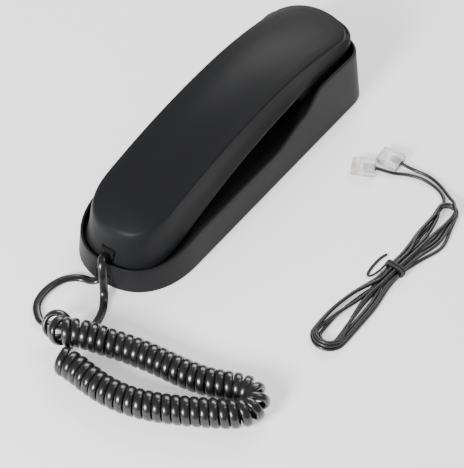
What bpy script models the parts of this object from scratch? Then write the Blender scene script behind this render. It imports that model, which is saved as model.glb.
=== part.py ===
"""Slimline wall phone lying on its back: base with cradle, lifting handset, keys, cords.

Metres, +Z up.  The back of the base rests at Z = 0 and faces the wall when hung.
+Y points to the earpiece end, +X to the right-hand side.  The origin is the middle
of the base's footprint.
"""
import math

import bmesh
import bpy
from mathutils import Matrix, Vector

MM = 0.001

# ---- overall sizes ----
BASE_LENGTH = 190.0 * MM
KEY_WIDTH = 9.0 * MM
RECEIVER_RADIUS = 15.5 * MM
# wide enough for three keys side by side, and for the receiver
BASE_WIDTH = 2.0 * max(1.5 * KEY_WIDTH + 17.0 * MM, RECEIVER_RADIUS + 15.0 * MM)
NEAR_END = -0.5 * BASE_LENGTH
FAR_END = 0.5 * BASE_LENGTH
HALF_WIDTH = 0.5 * BASE_WIDTH
NEAR_DEPTH = 36.5 * MM          # how far the rounded mouth end of the base reaches in
NEAR_POWER = 2.34               # 2 is an ellipse, larger is squarer
FAR_DEPTH = 19.0 * MM
FAR_POWER = 2.6
WALL = 1.8 * MM
FIT_GAP = 0.3 * MM              # clearance between pieces that seat on each other
FOOT_LIFT = 0.8 * MM            # the housing's lower edge stands this far off the surface

# ---- base housing ----
RIM_NEAR = 14.6 * MM
RIM_MIDDLE = 19.3 * MM
RIM_SHOULDER = 6.0 * MM         # the gentle part of the rim's rise to the ear end
RIM_STEP = 8.0 * MM             # the steep part of that rise
RIM_FALL = 1.4 * MM             # the rim drops this much again towards the ear tip
RIM_WALL = 1.3 * MM
DRAFT = 0.10                    # how far the outer wall leans in for each unit of height
RIM_ROUND = 0.4 * MM
SCOOP_REACH = 9.0 * MM          # the finger scoop's width beyond the rim
FLOOR_NEAR = 10.2 * MM
FLOOR_MIDDLE = 13.2 * MM
FLOOR_FAR = 22.6 * MM

# ---- base plate, board and fastenings ----
PLATE_THICKNESS = 1.8 * MM
POST_RADIUS = 2.6 * MM
POST_BORE = 1.25 * MM
POST_HEIGHT = 1.6 * MM          # the circuit board's height above the plate
SCREW_RADIUS = 1.0 * MM
SCREW_HEAD_RADIUS = 2.3 * MM
SCREW_HEAD = 0.9 * MM
SCREW_SIDE = HALF_WIDTH - 15.5 * MM
SCREW_SPOTS = ((-SCREW_SIDE, NEAR_END + 23.0 * MM), (SCREW_SIDE, NEAR_END + 23.0 * MM),
               (0.0, FAR_END - 9.0 * MM))
FOOT_RADIUS = 4.0 * MM
FOOT_HEIGHT = 1.4 * MM
FOOT_SIDE = HALF_WIDTH - FOOT_RADIUS - 9.5 * MM
FOOT_SPOTS = ((-FOOT_SIDE, NEAR_END + 37.0 * MM), (FOOT_SIDE, NEAR_END + 37.0 * MM),
              (-FOOT_SIDE, FAR_END - 21.0 * MM), (FOOT_SIDE, FAR_END - 21.0 * MM))
KEYHOLE_SPOTS = (NEAR_END + 39.0 * MM, FAR_END - 27.0 * MM)
KEYHOLE_RADIUS = 4.0 * MM
KEYHOLE_SLOT = 4.2 * MM
KEYHOLE_RUN = 8.0 * MM
BOARD_WIDTH = BASE_WIDTH - 19.0 * MM
BOARD_START = NEAR_END + 52.0 * MM
BUZZER_RADIUS = 10.0 * MM
BOARD_END = FAR_END - 2.0 * BUZZER_RADIUS - 12.5 * MM    # clear of the ringer buzzer
BOARD_THICKNESS = 1.6 * MM

# ---- sockets and plugs: width, length, height ----
PLUG_FIT = 0.3 * MM             # clearance between a plug and its socket on each side
JACK_SIDE = 1.4 * MM            # a cord socket's walls: sides, back, roof
JACK_BACK = 2.0 * MM
JACK_ROOF = 0.4 * MM
CORD_PLUG = (7.6 * MM, 11.6 * MM, 5.4 * MM)
CORD_JACK = (CORD_PLUG[0] + 2.0 * (PLUG_FIT + JACK_SIDE), CORD_PLUG[1] + JACK_BACK,
             CORD_PLUG[2] + 2.0 * (PLUG_FIT + JACK_ROOF))
LINE_PLUG = (9.6 * MM, 12.3 * MM, 5.0 * MM)
LINE_PORT = (LINE_PLUG[0] + PLUG_FIT, LINE_PLUG[2] + 2.0 * MM)
LINE_JACK = (LINE_PORT[0] + 3.1 * MM, LINE_PLUG[1] + 2.7 * MM, LINE_PORT[1] + 3.5 * MM)
LINE_JACK_Y = FAR_END - 25.0 * MM
BASE_PORT_HEIGHT = 0.5 * CORD_JACK[2] + 1.2 * MM   # middle of the socket in the base
HAND_PORT_HEIGHT = 17.8 * MM    # middle of the handset's socket above the surface

# ---- ringer ----
BUZZER_HEIGHT = 6.0 * MM
BUZZER_SPOT = (HALF_WIDTH - BUZZER_RADIUS - 7.0 * MM, FAR_END - BUZZER_RADIUS - 10.0 * MM)
SLIDER_Y = FAR_END - 47.0 * MM
SLIDER_HEIGHT = 14.0 * MM
SLIDER_TRAVEL = 6.0 * MM
SLIDER_KNOB = (2.2 * MM, 3.6 * MM)                 # height, length

# ---- handset ----
HAND_NEAR = NEAR_END + 4.0 * MM         # tip of the mouth end
HAND_FAR = FAR_END + 0.6 * MM           # tip of the ear end, just past the base's rim
HAND_HALF_LOW = HALF_WIDTH - 6.2 * MM   # half width at the lower edge of the side face
HAND_HALF_CREASE = HAND_HALF_LOW - 4.1 * MM        # at the crease below the crown
HAND_HALF_PARTING = HAND_HALF_LOW - 1.9 * MM       # where the shells meet, at the ear end
HAND_HALF_CUP = HAND_HALF_LOW - 1.3 * MM           # at the ear cup's lower edge
HAND_NEAR_DEPTH = 31.0 * MM
HAND_NEAR_POWER = 2.6
HAND_FAR_DEPTH = 21.0 * MM
HAND_FAR_POWER = 2.35
CREASE_PEAK = 48.2 * MM         # the crease is an arc: its top, where that is, its two ends
CREASE_PEAK_Y = FAR_END - 75.0 * MM
CREASE_NEAR = 31.0 * MM
CREASE_FAR = 34.6 * MM
CROWN = 3.8 * MM                # the crown's height above the crease
# the crown rolls down into the mouth end
MOUTH_ROLL = 6.5 * MM
MOUTH_ROLL_LENGTH = 24.0 * MM
MOUTH_ROLL_POWER = 2.2
LOW_PEAK = 38.4 * MM            # the side's lower edge is an arc too, levelling at the end
LOW_PEAK_Y = FAR_END - 55.0 * MM
LOW_TIP = 6.5 * MM
LOW_LEAST = 13.2 * MM
PARTING_EAR = 38.2 * MM         # height of the shells' joint line around the ear end
PARTING_EAR_CURVE = 1.5
EAR_LOW = 33.0 * MM             # lower edge of the front shell's band at the ear end
EAR_UNDERCUT = 5.2 * MM         # the ear cup keeps this far inside the ear tip above it
FACE_HALF = HAND_HALF_LOW - 3.9 * MM    # half width of the inner face
FACE_DEPTH = 4.0 * MM           # the inner face lies this far below the mouth end's edge
FACE_REST = 0.4 * MM            # gap between the handset and the cradle floor
PANEL_START = NEAR_END + 49.0 * MM
PANEL_END = FAR_END - 61.0 * MM
PANEL_HEIGHT = 22.5 * MM        # height of the keypad panel where it starts
PANEL_RISE = 10.4 * MM
PANEL_SLOPE = PANEL_RISE / (PANEL_END - PANEL_START)
EAR_START = FAR_END - 51.0 * MM
HAND_SCREW_SPOTS = (PANEL_START - 5.5 * MM, PANEL_END - 11.0 * MM)

# ---- keys ----
KEY_LENGTH = 6.0 * MM
KEY_GAP = 0.25 * MM
KEY_PITCH_X = KEY_WIDTH + 3.0 * MM
KEY_PITCH_Y = KEY_LENGTH + 3.6 * MM
KEY_TOP_Y = PANEL_START + 39.0 * MM     # the row with 1, 2 and 3
FUNCTION_Y = KEY_TOP_Y + KEY_PITCH_Y + 3.4 * MM
KEY_STAND = 1.4 * MM
KEY_TRAVEL = 1.2 * MM
KEY_FLANGE = 0.8 * MM
KEY_FLANGE_RIM = 0.7 * MM
KEY_ROUND = 0.5 * MM
MAT_THICKNESS = 1.0 * MM

# ---- sound parts ----
EAR_Y = HAND_FAR - RECEIVER_RADIUS - 10.1 * MM
EAR_HOLE_RADIUS = 0.9 * MM
EAR_HOLE_RING = 5.0 * MM
RECEIVER_HEIGHT = 8.0 * MM
GASKET_HEIGHT = 1.2 * MM
MOUTH_Y = NEAR_END + 31.0 * MM
CAPSULE_RADIUS = 4.8 * MM
CAPSULE_HEIGHT = 4.3 * MM
CAPSULE_BASE = 19.6 * MM

# ---- hook ----
HOOK_Y = FAR_END - 39.5 * MM
HOOK_HALF = (4.0 * MM, 5.0 * MM)
HOOK_FLANGE_RIM = 1.2 * MM
HOOK_FLANGE = 1.5 * MM
HOOK_STEM = 1.6 * MM
HOOK_TRAVEL = 4.0 * MM
SPRING_RADIUS = 3.0 * MM
SPRING_WIRE = 0.5 * MM
SPRING_TURNS = 5
SWITCH_HEIGHT = 3.0 * MM

# ---- cords ----
COIL_DIAMETER = 14.0 * MM
LEAD_DIAMETER = 3.2 * MM
LINE_DIAMETER = 1.8 * MM
HANK_HEIGHT = 4.7 * MM
TIE_WIRE = 1.2 * MM

COIL_ROUTE = (
    (7.4, -137.9, 10.6), (11.3, -133.9, 10.6), (17.0, -131.0, 10.5), (28.8, -127.2, 9.6),
    (41.0, -122.8, 7.6), (54.0, -120.2, 7.1), (66.0, -118.8, 7.1), (77.0, -116.6, 7.1),
    (84.8, -113.8, 7.1), (91.0, -111.0, 7.1), (96.8, -109.2, 7.1), (102.0, -110.4, 7.1),
    (104.4, -115.0, 7.1), (102.6, -120.4, 7.1), (97.2, -125.2, 7.1), (90.4, -129.6, 7.1),
    (82.8, -134.2, 7.1), (74.4, -138.8, 7.1), (66.8, -142.4, 7.1), (59.1, -145.2, 7.1),
    (52.0, -146.8, 7.1), (43.5, -147.6, 7.1), (35.0, -147.2, 7.1), (26.5, -146.3, 7.1),
    (19.2, -146.2, 7.1))
HANDSET_LEAD_ROUTE = (
    (0.0, -91.6, 17.8), (0.5, -94.2, 18.2), (2.2, -96.8, 17.2), (4.0, -98.8, 13.0),
    (5.2, -100.2, 7.5), (6.6, -101.8, 3.4), (8.6, -104.6, 1.7), (11.4, -109.0, 1.7),
    (13.4, -114.5, 1.7), (14.0, -121.0, 1.7), (13.2, -127.5, 1.7), (11.4, -134.0, 1.7),
    (10.2, -140.0, 1.9), (11.2, -145.0, 3.0), (14.2, -148.6, 4.2), (17.2, -149.4, 4.6))
BASE_LEAD_ROUTE = (
    (0.0, -95.5, 4.6), (-1.4, -97.8, 3.8), (-4.6, -98.8, 2.2), (-8.8, -99.6, 1.7),
    (-12.8, -102.2, 1.7), (-16.0, -106.4, 1.7), (-17.8, -112.6, 1.7), (-17.8, -119.4, 1.7),
    (-15.8, -125.6, 1.7), (-12.0, -130.6, 1.7), (-7.0, -134.8, 2.4), (-1.6, -138.4, 4.6),
    (3.4, -141.2, 7.6))
# the hank's middle line with its half width at each point
HANK_SPINE = (
    (110.6, 43.0, 4.4), (111.8, 34.0, 6.9), (112.6, 21.0, 8.5), (111.4, 8.0, 7.2),
    (110.2, -6.0, 4.4), (109.4, -16.0, 5.4), (108.0, -30.0, 7.9), (106.8, -44.0, 9.8),
    (106.8, -57.0, 8.8))
TIE_GAP = 0.6 * MM
LINE_PLUG_A = (65.6, 44.4, 2.7)
LINE_PLUG_A_AHEAD = (-0.89, -0.45, 0.0)
LINE_PLUG_B = (74.4, 55.0, 2.7)
LINE_PLUG_B_AHEAD = (-1.0, -0.05, 0.0)
LINE_LEAD_A_ROUTE = (
    (66.0, 44.6, 2.6), (69.0, 46.0, 1.9), (74.4, 48.2, 1.1), (81.0, 51.6, 1.1),
    (88.0, 53.4, 1.1), (94.5, 53.0, 1.1), (100.0, 51.2, 1.1), (105.0, 48.3, 1.1))
LINE_LEAD_B_ROUTE = (
    (74.8, 55.0, 2.6), (78.0, 55.4, 1.9), (83.0, 56.4, 1.1), (89.0, 57.0, 1.1),
    (95.0, 56.5, 1.1), (101.0, 54.6, 1.1), (106.0, 52.0, 1.1), (110.4, 48.9, 1.1))

EDGE_STEPS = (9, 16, 7)         # outline steps along the near arc, the side, the far arc


# ---------------------------------------------------------------- plain helpers
def clear_scene():
    for item in list(bpy.data.objects):
        bpy.data.objects.remove(item, do_unlink=True)


def ease(start, end, value):
    """0 before start, 1 after end, a smooth step between."""
    share = max(0.0, min(1.0, (value - start) / (end - start)))
    return share * share * (3.0 - 2.0 * share)


def mix(first, second, share):
    return first + (second - first) * share


def finish(name, red, green, blue, roughness, metallic=0.0):
    made = bpy.data.materials.new(name)
    made.use_nodes = True
    shader = made.node_tree.nodes["Principled BSDF"]
    shader.inputs["Base Color"].default_value = (red, green, blue, 1.0)
    shader.inputs["Roughness"].default_value = roughness
    shader.inputs["Metallic"].default_value = metallic
    made.diffuse_color = (red, green, blue, 1.0)
    return made


def mesh_object(name, vertices, faces, material, smooth=True, origin=(0.0, 0.0, 0.0)):
    """A closed mesh object with outward faces, its origin at the given place."""
    data = bpy.data.meshes.new(name)
    shift = Vector(origin)
    data.from_pydata([Vector(v) - shift for v in vertices], [], faces)
    work = bmesh.new()
    work.from_mesh(data)
    bmesh.ops.remove_doubles(work, verts=work.verts, dist=1e-6)
    bmesh.ops.recalc_face_normals(work, faces=work.faces)
    work.to_mesh(data)
    work.free()
    data.materials.append(material)
    if smooth:
        data.shade_smooth()
        data.set_sharp_from_angle(angle=math.radians(40.0))
    made = bpy.data.objects.new(name, data)
    made.location = shift
    bpy.context.scene.collection.objects.link(made)
    return made


def cut(target, cutter, operation="DIFFERENCE", solver="EXACT"):
    """Cut target with cutter, or join cutter to it, and hide the cutter."""
    cutter.hide_render = True
    cutter.display_type = "WIRE"
    step = target.modifiers.new(cutter.name, "BOOLEAN")
    step.operation = operation
    step.solver = solver
    step.object = cutter


# ---------------------------------------------------------------- outlines and lofts
def half_outline(half_width, near, far, near_depth, near_power, far_depth, far_power):
    """Points from the near tip up the right side to the far tip, as (x, y) pairs."""
    near_steps, side_steps, far_steps = EDGE_STEPS
    points = []
    for index in range(near_steps):
        angle = 0.5 * math.pi * (1.0 - index / near_steps)
        along = math.sin(angle) ** (2.0 / near_power)
        across = max(0.0, math.cos(angle)) ** (2.0 / near_power)
        points.append((half_width * across, near + near_depth * (1.0 - along)))
    side_start = near + near_depth
    side_end = far - far_depth
    for index in range(side_steps):
        points.append((half_width, mix(side_start, side_end, index / side_steps)))
    for index in range(far_steps + 1):
        angle = 0.5 * math.pi * index / far_steps
        along = math.sin(angle) ** (2.0 / far_power)
        across = max(0.0, math.cos(angle)) ** (2.0 / far_power)
        points.append((half_width * across, side_end + far_depth * along))
    points[0] = (0.0, points[0][1])
    points[-1] = (0.0, points[-1][1])
    return points


def ring(half_points, height):
    """Closed ring of 3-D points from a half outline, height a function of x and y."""
    right = [(x, y, height(x, y)) for x, y in half_points]
    left = [(-x, y, height(-x, y)) for x, y in reversed(half_points[1:-1])]
    return right + left


def lid(vertices, faces, first, half_count, height, columns=6):
    """Close a ring that starts at vertex number first with rows across it."""
    ring_count = 2 * half_count - 2
    rows = []
    for index in range(1, half_count - 1):
        right = first + index
        left = first + ring_count - index
        row = [right]
        x_right, y, _ = vertices[right]
        for step in range(1, columns):
            x = mix(x_right, -x_right, step / columns)
            row.append(len(vertices))
            vertices.append((x, y, height(x, y)))
        row.append(left)
        rows.append(row)
    for lower, upper in zip(rows, rows[1:]):
        for step in range(columns):
            faces.append((lower[step], lower[step + 1], upper[step + 1], upper[step]))
    for tip, row in ((first, rows[0]), (first + half_count - 1, rows[-1])):
        for step in range(columns):
            faces.append((tip, row[step + 1], row[step]))


def loft(name, rings, first_height, last_height, material):
    """One closed solid through a list of rings, closed by a lid at each end."""
    vertices = [point for one in rings for point in one]
    count = len(rings[0])
    faces = []
    for level in range(len(rings) - 1):
        for index in range(count):
            after = (index + 1) % count
            low = level * count
            high = low + count
            faces.append((low + index, low + after, high + after, high + index))
    half_count = count // 2 + 1
    lid(vertices, faces, 0, half_count, first_height)
    lid(vertices, faces, (len(rings) - 1) * count, half_count, last_height)
    return mesh_object(name, vertices, faces, material)


def box(name, centre, size, material, bevel=0.0, turn=0.0, origin=None):
    """A block, turned about X by turn through its centre."""
    work = bmesh.new()
    bmesh.ops.create_cube(work, size=1.0)
    bmesh.ops.scale(work, vec=size, verts=work.verts)
    if bevel > 0.0:
        bmesh.ops.bevel(work, geom=work.edges, offset=bevel, segments=1, affect="EDGES")
    bmesh.ops.rotate(work, matrix=Matrix.Rotation(turn, 3, "X"), verts=work.verts)
    place = Vector(centre) - Vector(origin or centre)
    bmesh.ops.translate(work, vec=place, verts=work.verts)
    data = bpy.data.meshes.new(name)
    work.to_mesh(data)
    work.free()
    data.materials.append(material)
    made = bpy.data.objects.new(name, data)
    made.location = Vector(origin or centre)
    bpy.context.scene.collection.objects.link(made)
    return made


def rods(name, rods_wanted, material, sides=16):
    """Upright round bars in one object, each (x, y, bottom, top, radius)."""
    vertices = []
    faces = []
    for x, y, bottom, top, radius in rods_wanted:
        first = len(vertices)
        for height in (bottom, top):
            for step in range(sides):
                angle = 2.0 * math.pi * step / sides
                vertices.append((x + radius * math.cos(angle),
                                 y + radius * math.sin(angle), height))
        faces.append(tuple(range(first, first + sides)))
        faces.append(tuple(range(first + sides, first + 2 * sides)))
        for step in range(sides):
            after = (step + 1) % sides
            faces.append((first + step, first + after, first + sides + after,
                          first + sides + step))
    return mesh_object(name, vertices, faces, material, smooth=False)


def stack(name, levels, material, base=(0.0, 0.0, 0.0), turn=0.0, corner=0.0):
    """A stepped block from (half width, half length, height) levels, bottom to top."""
    tilt = Matrix.Rotation(turn, 3, "X")
    vertices = []
    faces = []
    count = 8
    for half_x, half_y, height in levels:
        c = min(corner, 0.5 * half_x, 0.5 * half_y) if corner > 0.0 else 0.15 * half_x
        spots = ((half_x - c, -half_y), (half_x, c - half_y), (half_x, half_y - c),
                 (half_x - c, half_y), (c - half_x, half_y), (-half_x, half_y - c),
                 (-half_x, c - half_y), (c - half_x, -half_y))
        for x, y in spots:
            vertices.append(tilt @ Vector((x, y, height)) + Vector(base))
    for level in range(len(levels) - 1):
        low = level * count
        for step in range(count):
            after = (step + 1) % count
            faces.append((low + step, low + after, low + count + after, low + count + step))
    faces.append(tuple(range(count)))
    faces.append(tuple(range((len(levels) - 1) * count, len(levels) * count)))
    return mesh_object(name, vertices, faces, material, smooth=False, origin=base)


def turned(name, profile, base, material, turn=0.0, sides=24):
    """A solid of revolution from (radius, height) pairs, bottom to top, about Z."""
    vertices = []
    faces = []
    tilt = Matrix.Rotation(turn, 3, "X")
    for radius, height in profile:
        for step in range(sides):
            angle = 2.0 * math.pi * step / sides
            spot = Vector((radius * math.cos(angle), radius * math.sin(angle), height))
            vertices.append(tilt @ spot + Vector(base))
    for level in range(len(profile) - 1):
        for step in range(sides):
            after = (step + 1) % sides
            low = level * sides
            faces.append((low + step, low + after, low + sides + after, low + sides + step))
    if profile[0] != profile[-1]:
        faces.append(tuple(range(sides)))
        faces.append(tuple(range((len(profile) - 1) * sides, len(profile) * sides)))
    return mesh_object(name, vertices, faces, material, origin=base)


def smooth_path(points, step):
    """Evenly spaced points on a Catmull-Rom curve through the given points."""
    route = [Vector(point) for point in points]
    route = [2.0 * route[0] - route[1]] + route + [2.0 * route[-1] - route[-2]]
    fine = []
    pieces = 24
    for index in range(1, len(route) - 2):
        p0, p1, p2, p3 = route[index - 1:index + 3]
        for part in range(pieces):
            t = part / pieces
            fine.append(0.5 * (2.0 * p1 + (p2 - p0) * t
                               + (2.0 * p0 - 5.0 * p1 + 4.0 * p2 - p3) * t * t
                               + (3.0 * p1 - p0 - 3.0 * p2 + p3) * t * t * t))
    fine.append(route[-2])
    lengths = [0.0]
    for first, second in zip(fine, fine[1:]):
        lengths.append(lengths[-1] + (second - first).length)
    count = max(2, round(lengths[-1] / step))
    even = []
    place = 0
    for index in range(count + 1):
        wanted = lengths[-1] * index / count
        while place < len(lengths) - 2 and lengths[place + 1] < wanted:
            place += 1
        span = lengths[place + 1] - lengths[place]
        share = (wanted - lengths[place]) / span if span > 0.0 else 0.0
        even.append(fine[place].lerp(fine[place + 1], share))
    return even


def tube(name, points, diameter, step, material, resolution=2):
    """A round cord along a smooth route, as a bevelled poly curve with closed ends."""
    path = smooth_path(points, step)
    data = bpy.data.curves.new(name, "CURVE")
    data.dimensions = "3D"
    data.bevel_depth = 0.5 * diameter
    data.bevel_resolution = resolution
    data.use_fill_caps = True
    line = data.splines.new("POLY")
    line.points.add(len(path) - 1)
    for spot, point in zip(line.points, path):
        spot.co = (point.x, point.y, point.z, 1.0)
    data.materials.append(material)
    made = bpy.data.objects.new(name, data)
    bpy.context.scene.collection.objects.link(made)
    return made


# ---------------------------------------------------------------- the two main shapes
def rim_height(y):
    """Height of the base's rim: low at the mouth end, a curved step up to the ear end."""
    near = RIM_NEAR + (RIM_MIDDLE - RIM_NEAR) * ease(NEAR_END, NEAR_END + 45.0 * MM, y)
    shoulder = RIM_SHOULDER * ease(FAR_END - 87.0 * MM, FAR_END - 59.0 * MM, y)
    step = RIM_STEP * ease(FAR_END - 61.0 * MM, FAR_END - 44.0 * MM, y)
    return near + shoulder + step - RIM_FALL * ease(FAR_END - 43.0 * MM, FAR_END, y)


def scoop_share(y):
    """1 along the middle, where fingers reach in, and 0 at both ends."""
    near = ease(NEAR_END + 25.0 * MM, NEAR_END + 47.0 * MM, y)
    return near * (1.0 - ease(FAR_END - 69.0 * MM, FAR_END - 51.0 * MM, y))


def floor_height(y):
    """Height of the cradle floor: mouth pocket, middle, ear pocket."""
    mouth = ease(NEAR_END + 23.0 * MM, NEAR_END + 37.0 * MM, y)
    middle = (FLOOR_MIDDLE - FLOOR_NEAR) * mouth
    far = (FLOOR_FAR - FLOOR_MIDDLE) * ease(FAR_END - 63.0 * MM, FAR_END - 52.0 * MM, y)
    return FLOOR_NEAR + middle + far


def base_outline(inset):
    return half_outline(HALF_WIDTH - inset, NEAR_END + inset, FAR_END - inset, NEAR_DEPTH,
                        NEAR_POWER, FAR_DEPTH, FAR_POWER)


def base_ring(inset, height, scoop_inset=0.0, lean=True):
    """A ring of the base: inset from the foot outline, leaning in with its height."""
    points = []
    outer = base_outline(0.0)
    inner = base_outline(0.01 * BASE_WIDTH)
    for (x, y), (x_in, y_in) in zip(outer, inner):
        z = height(y)
        move = inset + (DRAFT * z if lean else 0.0) + scoop_inset * scoop_share(y)
        share = move / (0.01 * BASE_WIDTH)
        points.append((max(0.0, mix(x, x_in, share)), mix(y, y_in, share)))
    heights = [height(y) for _, y in outer]
    right = [(x, y, z) for (x, y), z in zip(points, heights)]
    left = [(-x, y, z) for x, y, z in reversed(right[1:-1])]
    return right + left


def crease_height(y):
    """Height of the crease between the crown and the side faces."""
    tip, tip_height = (HAND_FAR, CREASE_FAR) if y > CREASE_PEAK_Y else (HAND_NEAR, CREASE_NEAR)
    share = (y - CREASE_PEAK_Y) / (tip - CREASE_PEAK_Y)
    end_share = max(0.0, 1.0 - (y - HAND_NEAR) / MOUTH_ROLL_LENGTH)
    roll = MOUTH_ROLL * end_share ** MOUTH_ROLL_POWER
    return mix(CREASE_PEAK, tip_height, share * share) - roll


def crown_height(x, y):
    share = min(1.0, abs(x) / HAND_HALF_CREASE)
    return crease_height(y) + CROWN * (1.0 - share * share)


def ear_share(y):
    """0 along the grip, 1 around the ear end, where the front shell shows as a band."""
    return ease(FAR_END - 71.0 * MM, FAR_END - 45.0 * MM, y)


def parting_height(y):
    """Height of the line where the two shells meet, level at the mouth tip."""
    share = (y - LOW_PEAK_Y) / (HAND_NEAR - LOW_PEAK_Y)
    curve = mix(LOW_PEAK, LOW_TIP, share * share) - LOW_LEAST
    grip = LOW_LEAST + 0.5 * (curve + math.hypot(curve, 3.0 * MM))
    ear = PARTING_EAR - PARTING_EAR_CURVE * max(0.0, y - EAR_START) ** 2
    return mix(grip, ear, ear_share(y))


def low_height(y):
    """Height of the handset's lower edge as seen from the side."""
    return mix(parting_height(y), EAR_LOW, ease(PANEL_END, PANEL_END + 20.0 * MM, y))


def panel_height(y):
    return PANEL_HEIGHT + PANEL_SLOPE * (y - PANEL_START)


def face_height(y):
    """Height of the handset's inner face: mouth end, flat keypad panel, ear cup."""
    mouth = max(FLOOR_NEAR + FACE_REST, parting_height(y) - FACE_DEPTH)
    body = mix(mouth, panel_height(y), ease(PANEL_START - 6.0 * MM, PANEL_START, y))
    return mix(body, FLOOR_FAR + FACE_REST, ease(PANEL_END, EAR_START, y))


def hand_outline(half_width, near, far):
    """Outline of one level of the handset between its two tips."""
    near_depth = HAND_NEAR_DEPTH * half_width / HAND_HALF_LOW
    far_depth = HAND_FAR_DEPTH * half_width / HAND_HALF_LOW
    return half_outline(half_width, near, far, near_depth, HAND_NEAR_POWER, far_depth,
                        HAND_FAR_POWER)


def hand_level(half_grip, half_ear, near, far, height):
    """A ring of the handset whose half width changes from the grip to the ear end."""
    grip = hand_outline(half_grip, near, far)
    ear = hand_outline(half_ear, near, far)
    half = []
    for (x, y), (x_ear, y_ear) in zip(grip, ear):
        share = ear_share(y)
        half.append((mix(x, x_ear, share), mix(y, y_ear, share)))
    return ring(half, height)


def parting_ring(inset, drop):
    """The ring where the two shells meet, inset and lowered as asked."""
    return hand_level(HAND_HALF_LOW - inset, HAND_HALF_PARTING - inset, HAND_NEAR + inset,
                      HAND_FAR - inset, lambda x, y: parting_height(y) - drop)


def back_shell_rings(inset):
    """Rings of the handset's back from the crown down to the parting line."""
    crease_half = HAND_HALF_CREASE - inset

    def tipness(x):
        return 1.0 - min(1.0, abs(x) / crease_half) ** 2

    def crown(x, y):
        return crown_height(x, y) - inset

    def crease(x, y):
        return crown(x, y) - 0.2 * MM

    def below(x, y):
        return crease(x, y) - mix(1.0 * MM, 3.0 * MM, tipness(x))

    def side(x, y):
        return mix(crease_height(y), parting_height(y), 0.6)

    near = HAND_NEAR + inset
    far = HAND_FAR - inset
    side_half = mix(HAND_HALF_CREASE, HAND_HALF_LOW, 0.5) - inset
    side_ear = mix(HAND_HALF_CREASE, HAND_HALF_PARTING, 0.5) - inset
    rings = [
        ring(hand_outline(0.55 * crease_half, near + 14.0 * MM, far - 14.0 * MM), crown),
        ring(hand_outline(0.9 * crease_half, near + 7.2 * MM, far - 6.4 * MM), crown),
        ring(hand_outline(crease_half, near + 4.8 * MM, far - 3.8 * MM), crease),
        ring(hand_outline(crease_half + 0.35 * MM, near + 3.0 * MM, far - 2.1 * MM), below),
        hand_level(side_half, side_ear, near + 1.5 * MM, far - 0.8 * MM, side),
        parting_ring(inset, 0.0)]
    return rings, crown


def build_back_shell(plastic, hidden):
    """The handset's back, with two screw posts and the opening for its cord."""
    outer, crown = back_shell_rings(0.0)
    inner, crown_inside = back_shell_rings(WALL)
    shell = loft("handset_back_shell", outer + inner[::-1], crown, crown_inside, plastic)
    posts = []
    bores = []
    for y in HAND_SCREW_SPOTS:
        foot = face_height(y + POST_RADIUS) + WALL + FIT_GAP
        top = crown_height(0.0, y) - 0.5 * WALL
        posts.append((0.0, y, foot, top, POST_RADIUS))
        bores.append((0.0, y, foot - 1.0 * MM, foot + 9.0 * MM, POST_BORE))
    cut(shell, rods("handset_posts", posts, hidden), "UNION")
    cut(shell, rods("handset_post_bores", bores, hidden))
    width = CORD_PLUG[0] + 2.0 * PLUG_FIT
    height = CORD_PLUG[2] + 2.0 * PLUG_FIT
    cut(shell, box("handset_port", (0.0, HAND_NEAR, HAND_PORT_HEIGHT),
                   (width, 12.0 * MM, height), hidden))
    return shell


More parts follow.
